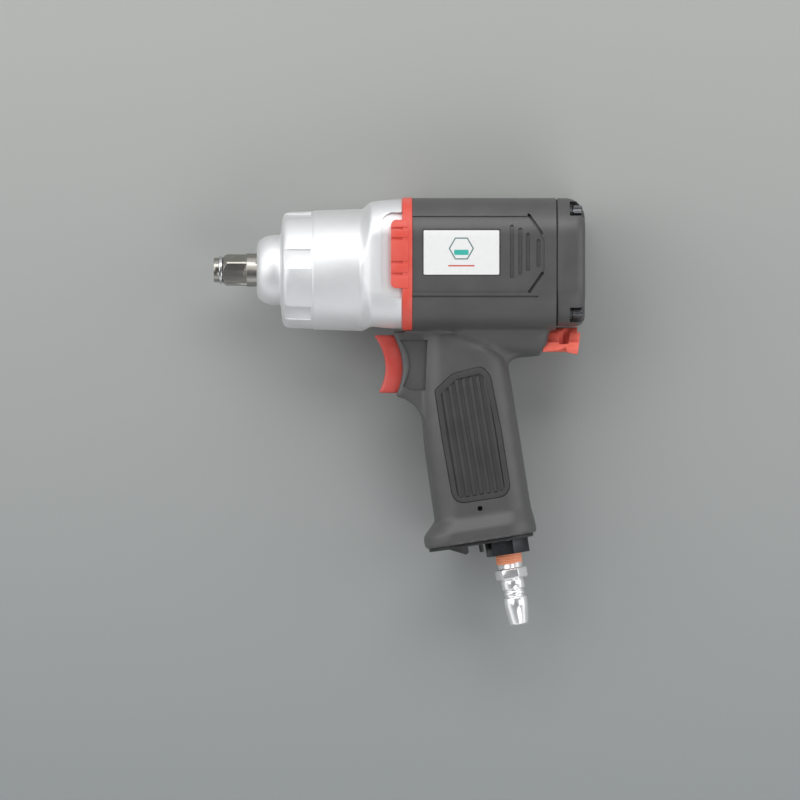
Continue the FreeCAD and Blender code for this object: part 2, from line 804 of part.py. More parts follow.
def housing_cuts():
    """Every bore and passage of the housing."""
    cuts = [
        rod(motor_radius - shoulder_height, housing_x - 1, front_plate_x + 1),
        rod(motor_radius + seat, front_plate_x, housing_end_x + 1),
    ]
    for y, z in bolt_places():
        cuts.append(rod(bolt_radius + gap, housing_x - 1, housing_end_x + 1, y, z))

    slot_back = trigger_back_x() + trigger_travel + 2 * trigger_slot_gap
    half = trigger_width / 2 + gap
    cuts.append(trigger_block(trigger_front_x() - 2, slot_back, trigger_slot_gap, half))
    cuts.append(rod(rod_radius + gap, ring_x, stem_x(), rod_y))
    bush_x = rod_bush_x()
    bush_end = bush_x + rod_bush_length + rod_seal_width + gap + gap / 2
    cuts.append(rod(rod_bush_radius + seat, bush_x - 5, bush_end, rod_y))

    mouth = handle_length - inlet_depth
    cuts.append(in_handle(down(chamber_radius + seat, chamber_top, mouth)))
    cuts.append(in_handle(down(inlet_radius + seat, mouth - gap / 2, handle_length + 1)))
    cuts.append(in_handle(lock_pin_bar(lock_pin_radius + seat, FAR)))
    for z in (-exhaust_z, exhaust_z):
        cuts.append(in_handle(down(exhaust_radius, exhaust_top, handle_length - 1, exhaust_a, z)))
    cuts.append(in_handle(muffler_block(0.0)))

    valve_x = tail_x - tail_lean - valve_length
    cuts.append(rod(sleeve_radius + seat, valve_x, tail_x + 5, lever_y))
    well = lever_reach() + lever_well_gap
    well_top = lever_y + lever_foot * math.sin(math.radians(lever_swing)) + lever_well_gap
    swept = rod(well, tail_x - tail_lean + gap, tail_x + 5, lever_y)
    cuts.append(swept.common(block(tail_x - FAR, tail_x + FAR, -FAR, well_top, -FAR, FAR)))
    cuts.append(Part.makeCylinder(detent_radius + slip, FAR, V(detent_x(), lever_y, 0), -AXIS_Z))
    cuts.append(Part.makeCylinder(3.0, 12, V(detent_x() - 8, lever_y, 0), AXIS_Y))
    return cuts


def make_housing():
    """Composite body: the barrel over the motor, the tail, the trigger guard and the handle."""
    shape = barrel(housing_x, housing_end_x).fuse([make_grip(), make_guard(), make_tail()])
    for cut in housing_cuts():
        shape = shape.cut(cut)
    keep("motor_housing", shape)

    label_x = housing_x + label_from_front
    low = label_centre - label_height / 2
    face = barrel_half_width
    keep("name_label", block(
        label_x, label_x + label_length, low, low + label_height, face, face + label_thickness))


# ---------------------------------------------------------------- trigger and throttle
def make_trigger():
    """Trigger on its rod, with the bushing and seal that the rod slides in."""
    half = trigger_width / 2
    trigger = trigger_block(trigger_front_x(), trigger_back_x(), 0.0, half)
    rod_x0 = trigger_front_x() + trigger_sweep + 3.0
    trigger = trigger.cut(rod(rod_radius + seat, rod_x0 - seat, trigger_back_x() + FAR, rod_y))
    pin_place = V(trigger_back_x() - trigger_back_lean, rod_y, -half - 1)
    cross = Part.makeCylinder(cross_pin_radius + seat, 2 * half + 2, pin_place, AXIS_Z)
    keep("trigger", trigger.cut(cross))
    shank = rod(rod_radius, rod_x0, stem_x() - stem_radius * 1.3 - rod_end_gap, rod_y)
    keep("trigger_rod", shank.cut(cross))
    pin_place.z = cross_pin_inset - half
    cross_length = 2 * (half - cross_pin_inset)
    keep("trigger_cross_pin", Part.makeCylinder(cross_pin_radius, cross_length, pin_place, AXIS_Z))

    bush_x0 = rod_bush_x()
    bush_x1 = bush_x0 + rod_bush_length
    seal_x = bush_x1 + gap / 2
    inner = rod_radius + slip
    keep("rod_bushing", tube(rod_bush_radius, inner, bush_x0, bush_x1, rod_y))
    keep("rod_seal", tube(rod_bush_radius, inner, seal_x, seal_x + rod_seal_width, rod_y))


def make_throttle():
    """Tilting valve: the rod pushes its stem over, and the head opens at one side of its seat."""
    keep("throttle_seat", in_handle(down_ring(chamber_radius, seat_bore, seat_depth - seat_ring, seat_depth)))
    head_b = seat_depth + slip
    stem = down(stem_radius, rod_meets_stem() - stem_reach, head_b)
    head = down(valve_head_radius, head_b, head_b + valve_head)
    keep("throttle_valve", in_handle(stem.fuse(head)))
    end_gap = wire_radius + slip
    start = head_b + valve_head + end_gap
    base = V(inlet_a, -start, 0)
    spring = coil(spring_radius, wire_radius, spring_length, spring_turns, base, V(0, -1, 0))
    keep("throttle_spring", in_handle(spring))
    shelf = start + spring_length + end_gap
    seat_plate = down_ring(chamber_radius, spring_seat_bore, shelf, shelf + spring_seat_thickness)
    keep("spring_seat", in_handle(seat_plate))
    mouth = handle_length - inlet_depth
    outer = chamber_radius - screen_inset
    cup = down(outer, mouth - screen_length, mouth - seat)
    hollow = down(outer - screen_wall, mouth - screen_length + screen_wall, mouth + 1)
    keep("inlet_screen", in_handle(cup.cut(hollow)))


# ---------------------------------------------------------------- air inlet
def lock_pin_bar(radius, length):
    """The lock pin's bar across the handle, in the handle's own frame."""
    place = V(lock_pin_a, lock_pin_depth - handle_length, -length / 2)
    return Part.makeCylinder(radius, length, place, AXIS_Z)


def inlet_groove(middle, width, floor):
    """A groove round the inlet bushing."""
    return down_ring(inlet_radius + 1, floor, middle - width / 2, middle + width / 2)


def make_inlet():
    """Hexagonal bushing that the plug screws into, held in the handle by a pin across a groove."""
    foot = handle_length
    hex_top = foot + deflector_thickness
    hex_end = hex_top + inlet_hex_height
    top = foot - inlet_depth
    body = down(inlet_radius, top, hex_top + 0.5).fuse(hex_down(inlet_hex, hex_top, hex_end, inlet_hex_turn))
    body = body.cut(down(thread_radius + seat, hex_end - thread_length, hex_end + 1))
    body = body.cut(down(thread_core - bushing_throat_wall, top - 1, hex_end))
    waist = inlet_a - lock_pin_a - lock_pin_radius - gap / 2
    body = body.cut(inlet_groove(foot - lock_pin_depth, 2 * lock_pin_radius + 2 * gap, waist))
    seal_b = foot - inlet_seal_depth
    seal_floor = inlet_radius - inlet_seal_thickness
    body = body.cut(inlet_groove(seal_b, inlet_seal_width + gap, seal_floor - gap / 2))
    keep("inlet_bushing", in_handle(body))
    half = inlet_seal_width / 2
    keep("inlet_seal", in_handle(down_ring(inlet_radius, seal_floor, seal_b - half, seal_b + half)))
    keep("lock_pin", in_handle(lock_pin_bar(lock_pin_radius, 2 * grip_half_width - 2)))
    make_plug(hex_end)


def make_plug(b0):
    """Coupler plug, from its thread to the tapered nose that snaps into a hose socket."""
    b1 = b0 + seal_shown
    b2 = b1 + plug_neck
    b3 = b2 + plug_hex_height
    b4 = b3 + plug_body
    b5 = b4 + plug_groove
    b6 = b5 + plug_nose
    b7 = b6 + plug_taper
    start = b0 - thread_length + 1
    taper = Part.makeCone(plug_nose_radius, plug_tip_radius, plug_taper, V(inlet_a, -b6, 0), V(0, -1, 0))
    plug = down(thread_core, start, b2 + 0.5).fuse([
        hex_down(plug_hex, b2, b3, plug_hex_turn),
        down(plug_body_radius, b3, b4),
        down(plug_groove_radius, b4, b5),
        down(plug_nose_radius, b5, b6),
        taper,
    ])
    keep("coupler_plug", in_handle(plug.cut(down(plug_bore, start - 1, b7 + 1))))
    keep("thread_seal", in_handle(down_ring(thread_radius, thread_core, start + 1, b1)))


# ---------------------------------------------------------------- exhaust
def make_exhaust():
    """Plate under the handle with a hood that throws the exhaust to the rear, and the felt above it."""
    foot = handle_length
    under = -foot - deflector_thickness
    margin = deflector_margin
    outline = handle_wire(
        foot, base_front - margin, base_rear - margin, base_half_width - margin, base_corner - margin)
    shape = Part.Face(outline).extrude(V(0, -deflector_thickness, 0))
    shape = shape.cut(down(inlet_radius + gap, foot - 1, foot + deflector_thickness + 1))
    hood_end = hood_front + hood_length
    low = under - hood_drop
    overlap = 0.4
    hood = plate([
        (hood_front, under + overlap),
        (hood_end, low),
        (hood_end + hood_lip, low + 1.0),
        (hood_end + hood_lip, under + overlap),
    ], hood_half_width)
    inside = plate([
        (hood_front + 3.5, 1 - foot),
        (hood_front + 3.5, under),
        (hood_end - 0.6, low + 1.6),
        (hood_end + 3, low + 1.6),
        (hood_end + 3, under),
        (hood_end, 1 - foot),
    ], hood_half_width - hood_wall)
    post_x = inlet_a - inlet_hex / 2 - 2 * post_thickness - gap
    half = post_half_width
    post = block(post_x, post_x + post_thickness, low, under, -half, half)
    keep("exhaust_deflector", in_handle(shape.fuse([hood, post]).cut(inside)))
    keep("muffler_felt", in_handle(muffler_block(gap)))


# ---------------------------------------------------------------- end cap
def make_end_cap():
    """Rear cover with a spigot that clamps the motor, and a scalloped pocket for each bolt head."""
    cap = barrel(cap_x, rear_x, 0.0, cap_bottom)
    rim = [e for e in cap.Edges if e.BoundBox.XMin > rear_x - slip and e.BoundBox.XLength < slip]
    cap = cap.makeFillet(cap_edge, rim)
    pocket = bolt_head_radius + bolt_pocket_gap
    reach = bolt_pocket_reach * math.sqrt(0.5)
    for y, z in bolt_places():
        out_y = y + math.copysign(reach, y)
        out_z = z + math.copysign(reach, z)
        for place in ((y, z), (out_y, out_z)):
            cap = cap.cut(rod(pocket, rear_x - bolt_seat, rear_x + 1, *place))
        cap = cap.cut(rod(bolt_radius + gap, cap_x - 1, rear_x, y, z))
    hollow = bearing_outer - cap_hollow_wall
    cap = cap.fuse(tube(motor_radius - gap, hollow, motor_end_x + seat, cap_x + 0.5))
    keep("end_cap", cap.cut(rod(hollow, motor_end_x - 1, cap_x + 3)))

    gasket = barrel(housing_end_x, cap_x, -gasket_inset, cap_bottom)
    gasket = gasket.cut(rod(motor_radius, housing_end_x - 1, cap_x + 1))
    for y, z in bolt_places():
        gasket = gasket.cut(rod(bolt_radius + gap, housing_end_x - 1, cap_x + 1, y, z))
    keep("cap_gasket", gasket)


def make_bolts():
    """Four socket-head bolts that clamp the cap, housing, ring and case together."""
    bolts = []
    washers = []
    seat_x = rear_x - bolt_seat
    head_x = seat_x + washer_thickness
    top_x = head_x + bolt_head_length
    for y, z in bolt_places():
        shank = rod(bolt_radius, ring_x - bolt_grip, head_x + 1, y, z)
        head = rod(bolt_head_radius, head_x, top_x, y, z)
        key = hexagon(bolt_key, bolt_key_depth + 1, V(top_x - bolt_key_depth, y, z), AXIS_X)
        bolts.append(shank.fuse(head).cut(key).removeSplitter())
        washers.append(tube(bolt_radius + washer_width, bolt_radius + gap, seat_x, head_x, y, z))
    keep("housing_bolts", Part.makeCompound(bolts))
    keep("lock_washers", Part.makeCompound(washers))


# ---------------------------------------------------------------- reverse valve
def lever_reach():
    """How far the lever's foot reaches from its axis."""
    return math.hypot(lever_drop, lever_foot)


def detent_x():
    return tail_x - tail_lean - valve_length * detent_share


def make_reverse_valve():
    """Rotary valve in its sleeve, and the spring-loaded ball that rides in its groove."""
    x0 = tail_x - tail_lean - valve_length
    x1 = tail_x - tail_lean - gap
    groove_x = detent_x()
    ball_z = spindle_radius - detent_depth + detent_radius
    ring = Part.makeTorus(ball_z, detent_radius + slip, V(groove_x, lever_y, 0), AXIS_X)
    spindle = rod(spindle_radius, x0 + pin_end_gap, x1 + gap / 2, lever_y)
    spindle = spindle.fuse(rod(spindle_neck, x1, tail_x + spindle_reach, lever_y))
    flat_y = lever_y + 2.0
    spindle = spindle.cut(block(x0 + 2, x0 + 2 + spindle_cut, flat_y, flat_y + FAR, -FAR, FAR))
    spindle = spindle.cut(ring)
    keep("reverse_valve", spindle.cut(rod(lever_screw_radius + seat, tail_x - 4, tail_x + FAR, lever_y)))

    sleeve = tube(sleeve_radius, spindle_radius + slip, x0, x1, lever_y)
    port = Part.makeCylinder(2.5, FAR, V(x0 + 5.2, lever_y, 0), AXIS_Y)
    hole = Part.makeCylinder(detent_radius + slip, FAR, V(groove_x, lever_y, 0), -AXIS_Z)
    keep("valve_sleeve", sleeve.cut(port).cut(hole))

    keep("detent_ball", Part.makeSphere(detent_radius, V(groove_x, lever_y, -ball_z)))
    spring_z = ball_z + detent_radius + detent_wire + gap / 2
    free = tail_half_width - detent_cover - detent_wire - gap - gap / 2 - slip - spring_z
    base = V(groove_x, lever_y, -spring_z)
    keep("detent_spring", coil(
        detent_radius - detent_wire - gap, detent_wire, free, detent_turns, base, -AXIS_Z))
    place = V(groove_x, lever_y, -tail_half_width)
    cover = Part.makeCylinder(detent_radius, detent_cover, place, AXIS_Z)
    place.z -= 1
    keep("detent_screw", cover.cut(hexagon(detent_key, 2.2, place, AXIS_Z)))


def make_reverse_lever():
    """Lever on the valve's neck, hanging under the end cap, with a slot on each side of its web."""
    x0 = tail_x + lever_gap
    x1 = x0 + lever_length
    foot_y = lever_y - lever_drop
    hub = rod(lever_hub_radius, x0 - tail_lean * 0.45, x1 - 2.0, lever_y)
    foot = plate([
        (x0 - 0.9, lever_y + 2.0),
        (x0 - tail_lean * 0.85, foot_y + 1.5),
        (x0 + lever_length / 2, foot_y + 2.4),
        (x1 - 1.0, foot_y),
        (x1, lever_y + 2.0),
    ], lever_foot)
    foot = foot.common(rod(lever_reach(), x0 - 9, x1 + 9, lever_y))
    limit = rod(lever_hub_radius, x0 - 9, x1 + 9, lever_y)
    limit = limit.fuse(block(x0 - 9, x1 + 9, lever_y - FAR, lever_y - 1.0, -FAR, FAR))
    lever = hub.fuse(foot).common(limit)
    slot_x = x0 + lever_slot_start
    slot = block(slot_x, slot_x + lever_slot, foot_y + lever_slot_floor, lever_y + FAR, lever_web, FAR)
    for cut in both_sides(slot):
        lever = lever.cut(cut)
    lever = lever.cut(rod(spindle_neck + seat, x0 - 9, tail_x + spindle_reach + seat, lever_y))
    lever = lever.cut(rod(lever_screw_radius + seat, x0, x1 + 9, lever_y))
    head_x = x1 - 4.2
    lever = lever.cut(rod(lever_screw_head + seat, head_x, x1 + 9, lever_y))
    keep("reverse_lever", lever)

    screw = rod(lever_screw_radius, tail_x - 3.5, head_x + gap / 2, lever_y)
    screw = screw.fuse(rod(lever_screw_head, head_x, head_x + lever_screw_head_length, lever_y))
    key = hexagon(lever_screw_key, 3.0, V(head_x + 0.8, lever_y, 0), AXIS_X)
    keep("lever_screw", screw.cut(key))


make_anvil()
make_hammer_case()
make_collar_ring()
make_hammer("front_hammer", hammer1_x, 1)
make_hammer("rear_hammer", hammer2_x, -1)
make_cage()
make_stator()
make_rotor()
make_bearing("front_bearing", front_plate_x)
make_bearing("rear_bearing", motor_end_x - bearing_width)
make_housing()
make_trigger()
make_throttle()
make_inlet()
make_exhaust()
make_end_cap()
make_bolts()
make_reverse_valve()
make_reverse_lever()

os.makedirs("parts", exist_ok=True)
for name, shape in PARTS.items():
    solids = shape.Solids
    good = bool(solids) and all(s.isValid() and s.Volume > 0 for s in solids)
    print(name, len(solids), round(shape.Volume, 1), "ok" if good else "BAD")
    whole = solids[0] if len(solids) == 1 else Part.makeCompound(solids)
    whole.exportStep(os.path.join("parts", name + ".step"))
print("sub-parts", len(PARTS))
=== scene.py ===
import bpy
import json
import math
from mathutils import Matrix, Vector

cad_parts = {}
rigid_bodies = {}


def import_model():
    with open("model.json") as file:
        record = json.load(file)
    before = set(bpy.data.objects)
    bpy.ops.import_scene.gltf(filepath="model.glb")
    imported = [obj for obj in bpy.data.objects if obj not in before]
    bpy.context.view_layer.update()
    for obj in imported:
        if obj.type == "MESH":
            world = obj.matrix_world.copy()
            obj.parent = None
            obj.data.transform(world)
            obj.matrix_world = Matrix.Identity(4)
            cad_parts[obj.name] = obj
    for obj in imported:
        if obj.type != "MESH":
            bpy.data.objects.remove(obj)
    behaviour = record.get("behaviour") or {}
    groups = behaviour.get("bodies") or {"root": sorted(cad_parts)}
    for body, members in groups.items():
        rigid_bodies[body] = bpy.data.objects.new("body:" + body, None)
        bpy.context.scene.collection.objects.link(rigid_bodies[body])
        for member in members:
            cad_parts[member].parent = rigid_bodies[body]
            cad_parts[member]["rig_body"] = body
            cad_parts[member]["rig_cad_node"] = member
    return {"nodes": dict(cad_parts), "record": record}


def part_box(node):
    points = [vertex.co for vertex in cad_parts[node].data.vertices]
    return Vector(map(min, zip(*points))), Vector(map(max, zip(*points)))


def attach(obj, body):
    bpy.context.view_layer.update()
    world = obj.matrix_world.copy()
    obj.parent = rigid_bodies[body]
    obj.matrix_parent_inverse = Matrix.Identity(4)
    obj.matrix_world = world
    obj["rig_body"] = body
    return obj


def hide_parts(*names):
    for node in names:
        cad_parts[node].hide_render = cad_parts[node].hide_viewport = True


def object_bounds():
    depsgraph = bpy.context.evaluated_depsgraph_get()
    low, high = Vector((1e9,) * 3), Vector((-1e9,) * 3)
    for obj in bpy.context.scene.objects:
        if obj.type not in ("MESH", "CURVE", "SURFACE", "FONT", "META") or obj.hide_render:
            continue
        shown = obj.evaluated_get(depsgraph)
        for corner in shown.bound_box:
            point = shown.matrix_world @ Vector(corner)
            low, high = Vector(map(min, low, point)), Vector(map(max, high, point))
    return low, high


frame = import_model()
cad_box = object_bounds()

nodes = frame["nodes"]

# Camera and studio. The tool lies on its right side on a grey paper floor, between four soft boxes that stand
# round it, in air that is brightest near the horizon. The camera looks straight down.
tool_low = cad_box[0]
middle = Vector((0.093, -0.065, 0.0))

camera_data = bpy.data.cameras.new("camera")
camera_data.lens = 405
camera_data.sensor_width = 36
camera = bpy.data.objects.new("camera", camera_data)
camera.location = (middle.x, middle.y, 4.5)
camera_data.clip_end = 20
bpy.context.scene.collection.objects.link(camera)
bpy.context.scene.camera = camera
bpy.context.scene.view_settings.view_transform = "Standard"

world = bpy.data.worlds.new("studio_air")
world.use_nodes = True
air = world.node_tree
background = air.nodes["Background"]
direction = air.nodes.new("ShaderNodeTexCoord")
split = air.nodes.new("ShaderNodeSeparateXYZ")
ceiling = air.nodes.new("ShaderNodeValToRGB")
ceiling.color_ramp.elements[0].position = 0.36
ceiling.color_ramp.elements[0].color = (1.20, 1.22, 1.25, 1)
ceiling.color_ramp.elements[1].position = 1.0
ceiling.color_ramp.elements[1].color = (0.08, 0.08, 0.09, 1)
middle_air = ceiling.color_ramp.elements.new(0.62)
middle_air.color = (0.42, 0.43, 0.45, 1)
air.links.new(direction.outputs["Generated"], split.inputs["Vector"])
air.links.new(split.outputs["Z"], ceiling.inputs["Fac"])
air.links.new(ceiling.outputs["Color"], background.inputs["Color"])
background.inputs["Strength"].default_value = 0.8
bpy.context.scene.world = world


def soft_box(name, place, size, power):
    """A square soft light that faces the middle of the tool."""
    lamp = bpy.data.lights.new(name, "AREA")
    lamp.shape = "RECTANGLE"
    lamp.size, lamp.size_y = size
    lamp.energy = power
    holder = bpy.data.objects.new(name, lamp)
    holder.location = place
    holder.rotation_euler = (Vector(place) - middle).to_track_quat("Z", "Y").to_euler()
    bpy.context.scene.collection.objects.link(holder)


soft_box("left_light", (-0.85, 0.25, 1.0), (0.9, 1.3), 6.8)
soft_box("top_light", (0.05, 0.90, 0.95), (1.4, 0.6), 9.2)
soft_box("right_light", (1.15, 0.1, 0.8), (0.5, 1.2), 3.0)
soft_box("lower_light", (0.60, -0.75, 1.0), (0.7, 0.6), 3.0)


def deselect():
    bpy.ops.object.select_all(action="DESELECT")


def take(piece):
    """Makes the piece the only one selected, and the active one."""
    deselect()
    piece.select_set(True)
    bpy.context.view_layer.objects.active = piece


def settle(piece):
    """Puts a piece's place, turn and scale into its mesh."""
    take(piece)
    bpy.ops.object.transform_apply(location=True, rotation=True, scale=True)


deselect()
bpy.ops.mesh.primitive_grid_add(x_subdivisions=40, y_subdivisions=40, size=3.2)
floor = bpy.context.object
floor.name = "floor"
floor.location = (middle.x, middle.y, tool_low.z - 0.0003)
settle(floor)


class Finish:
    """A material's node tree, built up from its shader: base colour, roughness and bump."""

    def __init__(self, name, color, roughness, metallic=0.0):
        self.material = bpy.data.materials.new(name)
        self.material.use_nodes = True
        self.tree = self.material.node_tree
        self.shader = self.tree.nodes["Principled BSDF"]
        self.shader.inputs["Base Color"].default_value = (*color, 1)
        self.shader.inputs["Roughness"].default_value = roughness
        self.shader.inputs["Metallic"].default_value = metallic
        self.place = self.tree.nodes.new("ShaderNodeTexCoord").outputs["Object"]
        self.last_normal = None

    def node(self, kind, links):
        made = self.tree.nodes.new("ShaderNode" + kind)
        for key, source in links.items():
            if isinstance(source, (int, float, tuple)):
                made.inputs[key].default_value = source
            else:
                self.tree.links.new(source, made.inputs[key])
        return made

    def noise(self, scale, detail, stretch=(1, 1, 1)):
        spread = self.node("Mapping", {"Vector": self.place, "Scale": stretch})
        links = {"Vector": spread.outputs["Vector"], "Scale": scale, "Detail": detail}
        return self.node("TexNoise", links).outputs["Fac"]

    def between(self, source, low, high, from_low=0.3, from_high=0.7):
        links = {"Value": source, "From Min": from_low, "From Max": from_high, "To Min": low, "To Max": high}
        return self.node("MapRange", links).outputs["Result"]

    def vary_color(self, source, dark, light):
        ramp = self.node("ValToRGB", {"Fac": source})
        ramp.color_ramp.elements[0].position = 0.3
        ramp.color_ramp.elements[0].color = (*dark, 1)
        ramp.color_ramp.elements[1].position = 0.7
        ramp.color_ramp.elements[1].color = (*light, 1)
        self.tree.links.new(ramp.outputs["Color"], self.shader.inputs["Base Color"])

    def vary_roughness(self, source, low, high):
        self.tree.links.new(self.between(source, low, high), self.shader.inputs["Roughness"])

    def bump(self, source, strength, distance):
        links = {"Height": source, "Strength": strength, "Distance": distance}
        if self.last_normal:
            links["Normal"] = self.last_normal
        self.last_normal = self.node("Bump", links).outputs["Normal"]
        self.tree.links.new(self.last_normal, self.shader.inputs["Normal"])


paper = Finish("floor_paper", (0.36, 0.365, 0.35), 0.8)
# The paper's colour darkens towards -Y: painted shade, a painted fall-off of the light from the top lamps
# across the floor.
along = paper.node("SeparateXYZ", {"Vector": paper.place})
painted_falloff = paper.between(along.outputs["Y"], 0.3, 0.7, -0.28, 0.12)
paper.vary_color(painted_falloff, (0.27, 0.288, 0.288), (0.375, 0.382, 0.365))
paper.bump(paper.noise(900.0, 2.0), 0.1, 0.0002)
floor.data.materials.append(paper.material)

# Finishes of the pieces that stay as the frame has them. Most sit inside the tool, and show only where a bore
# or a slot opens on them. Each is the metal, rubber or moulding that such a piece is made of.


def metal(name, color, roughness, grain=(1, 1, 1), scale=900.0, depth=0.00002, specks=0.04, bare=1.0):
    """A bare or coated metal whose grain runs the way that it was worked."""
    finish = Finish(name, color, roughness, bare)
    grain_lines = finish.noise(scale, 3.0, grain)
    dark = tuple(max(c - specks, 0) for c in color)
    light = tuple(min(c + specks, 1) for c in color)
    finish.vary_color(finish.noise(60.0, 4.0), dark, light)
    finish.vary_roughness(grain_lines, max(roughness - 0.07, 0.02), roughness + 0.07)
    finish.bump(grain_lines, 0.3, depth)
    return finish


def moulding(name, color, roughness, scale=1400.0, depth=0.00006, specks=0.006):
    """A moulded plastic or rubber with a fine spark-eroded texture."""
    finish = Finish(name, color, roughness)
    dark = tuple(max(c - specks, 0) for c in color)
    light = tuple(min(c + specks, 1) for c in color)
    finish.vary_color(finish.noise(90.0, 5.0), dark, light)
    texture = finish.noise(scale, 2.0)
    finish.vary_roughness(texture, roughness - 0.06, roughness + 0.06)
    finish.bump(texture, 0.35, depth)
    return finish


around_x = (0.05, 1, 1)
finishes = {
    "composite": moulding("composite_moulding", (0.074, 0.073, 0.072), 0.42),
    "case_silver": metal("silver_coat", (0.78, 0.785, 0.79), 0.5, (1, 1, 1), 1500.0, 0.00002, 0.02, 0.75),
    "red_plastic": moulding("red_moulding", (0.68, 0.09, 0.065), 0.42, specks=0.02),
    "drive_steel": metal("drive_steel", (0.30, 0.29, 0.27), 0.3, around_x),
    "machined_steel": metal("machined_steel", (0.56, 0.56, 0.57), 0.25, around_x),
    "black_steel": metal("black_oxide_steel", (0.06, 0.062, 0.066), 0.35, specks=0.015),
    "chrome_plate": metal("chrome_plate", (0.93, 0.93, 0.93), 0.2, depth=0.000005, specks=0.01, bare=0.75),
    "sintered_bronze": metal("sintered_bronze", (0.52, 0.34, 0.16), 0.45, depth=0.00005),
    "cast_grey": metal("machined_casting", (0.30, 0.30, 0.31), 0.45, around_x),
    "black_rubber": moulding("black_rubber", (0.02, 0.02, 0.021), 0.7, 700.0),
    "gasket_sheet": moulding("gasket_sheet", (0.05, 0.045, 0.04), 0.85, 500.0, 0.0001),
    "felt": moulding("pressed_felt", (0.2, 0.19, 0.17), 0.95, 350.0, 0.0004, 0.04),
    "phenolic": moulding("phenolic_vane", (0.13, 0.06, 0.025), 0.5, 500.0, 0.00004, 0.02),
    "white_label": moulding("label_film", (0.77, 0.77, 0.76), 0.3, 300.0, 0.00001, 0.003),
    "orange_sealant": moulding("thread_sealant", (0.88, 0.33, 0.18), 0.5, 300.0, 0.0003, 0.06),
    "wire_mesh": metal("inlet_mesh", (0.6, 0.6, 0.6), 0.4),
}
for row in frame["record"]["subparts"]:
    node = nodes[row["node"]]
    node.data.materials.clear()
    node.data.materials.append(finishes[row["material_slot"]].material)

# Hammer case: an aluminium casting with a turned nose and body, a flare to the housing's rounded outline, six
# shallow flats behind its front edge and a recess round each thumb pad. It is coated in satin silver.
MM = 0.001
CORNER = 20.0
QUARTERS = ((1, 1), (-1, 1), (-1, -1), (1, -1))
ALONG_X = (0, math.pi / 2, 0)
ALONG_Y = (math.pi / 2, 0, 0)
ALONG_Z = (0, 0, 0)
case_low, case_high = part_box("hammer_case")
nose_x = case_low.x / MM
ring_x = case_high.x / MM
case_x = nose_x + 12.0
recess_x = ring_x - 10.55
flare_x = ring_x - 20.75
flange_x = ring_x - 14.75
case_radius = 30.5
flange_corner = 18.3
cavity_radius = 25.5
bolt_places = [(y, z) for y in (27.5, -20.0) for z in (22.5, -22.5)]
bolt_hole = 2.7


def edit(piece, test, kind="VERT"):
    """Opens the piece for editing with the points or faces selected that pass the test."""
    take(piece)
    mesh = piece.data
    bpy.ops.object.mode_set(mode="EDIT")
    bpy.ops.mesh.select_mode(type=kind)
    bpy.ops.mesh.select_all(action="DESELECT")
    bpy.ops.object.mode_set(mode="OBJECT")
    if kind == "VERT":
        for vertex in mesh.vertices:
            vertex.select = test(vertex.co)
    else:
        for face in mesh.polygons:
            face.select = test(face.center, face.normal)
    bpy.ops.object.mode_set(mode="EDIT")


def done(piece):
    """Closes the edit with every face pointing outwards."""
    bpy.ops.mesh.select_all(action="SELECT")
    bpy.ops.mesh.normals_make_consistent(inside=False)
    bpy.ops.object.mode_set(mode="OBJECT")
    return piece


def finish_modifier(piece, kind, **values):
    """Adds one modifier and applies it."""
    take(piece)
    modifier = piece.modifiers.new(kind.lower(), kind)
    for key, value in values.items():
        setattr(modifier, key, value)
    bpy.ops.object.modifier_apply(modifier=modifier.name)
    return piece


def boolean(piece, operation, *tools):
    """Cuts, joins or keeps what is common with each of the tools, which are then removed."""
    for tool in tools:
        finish_modifier(piece, "BOOLEAN", operation=operation, object=tool, solver="EXACT")
        bpy.data.objects.remove(tool)
    return piece


def cut(piece, *tools):
    """Cuts all the tools at once, as one body of many shells."""
    take(tools[0])
    for tool in tools:
        tool.select_set(True)
    bpy.ops.object.join()
    return boolean(piece, "DIFFERENCE", tools[0])


def round_edges(piece, width, segments, angle):
    """Puts a round on every edge that is sharper than the angle."""
    return finish_modifier(
        piece, "BEVEL", width=width * MM, segments=segments, limit_method="ANGLE",
        angle_limit=math.radians(angle), miter_outer="MITER_ARC", use_clamp_overlap=True)


def smooth(piece, angle):
    """Shades the piece smooth, apart from edges that are sharper than the angle."""
    take(piece)
    bpy.ops.object.shade_smooth_by_angle(angle=math.radians(angle))
    return piece


def circle(name, radius, points):
    """A flat filled circle about the origin, from which the solids are drawn out."""
    deselect()
    bpy.ops.mesh.primitive_circle_add(vertices=points, radius=radius * MM, fill_type="NGON")
    bpy.context.object.name = name
    return bpy.context.object


def turned(name, line, points=96, axis=ALONG_X, place=(0, 0, 0)):
    """A solid of revolution. Its line is (distance along the axis, radius) from one end to the other."""
    start, radius = line[0]
    piece = circle(name, radius, points)
    bpy.ops.object.mode_set(mode="EDIT")
    bpy.ops.mesh.select_mode(type="FACE")
    bpy.ops.mesh.select_all(action="SELECT")
    for (x0, r0), (x1, r1) in zip(line, line[1:]):
        bpy.ops.mesh.extrude_region_move(TRANSFORM_OT_translate={"value": (0, 0, (x1 - x0) * MM)})
        bpy.ops.transform.resize(value=(r1 / r0, r1 / r0, 1), center_override=(0, 0, (x1 - start) * MM))
    done(piece)
    bpy.ops.transform.translate(value=(0, 0, start * MM))
    settle(piece)
    piece.rotation_euler = axis
    piece.location = [value * MM for value in place]
    settle(piece)
    return piece


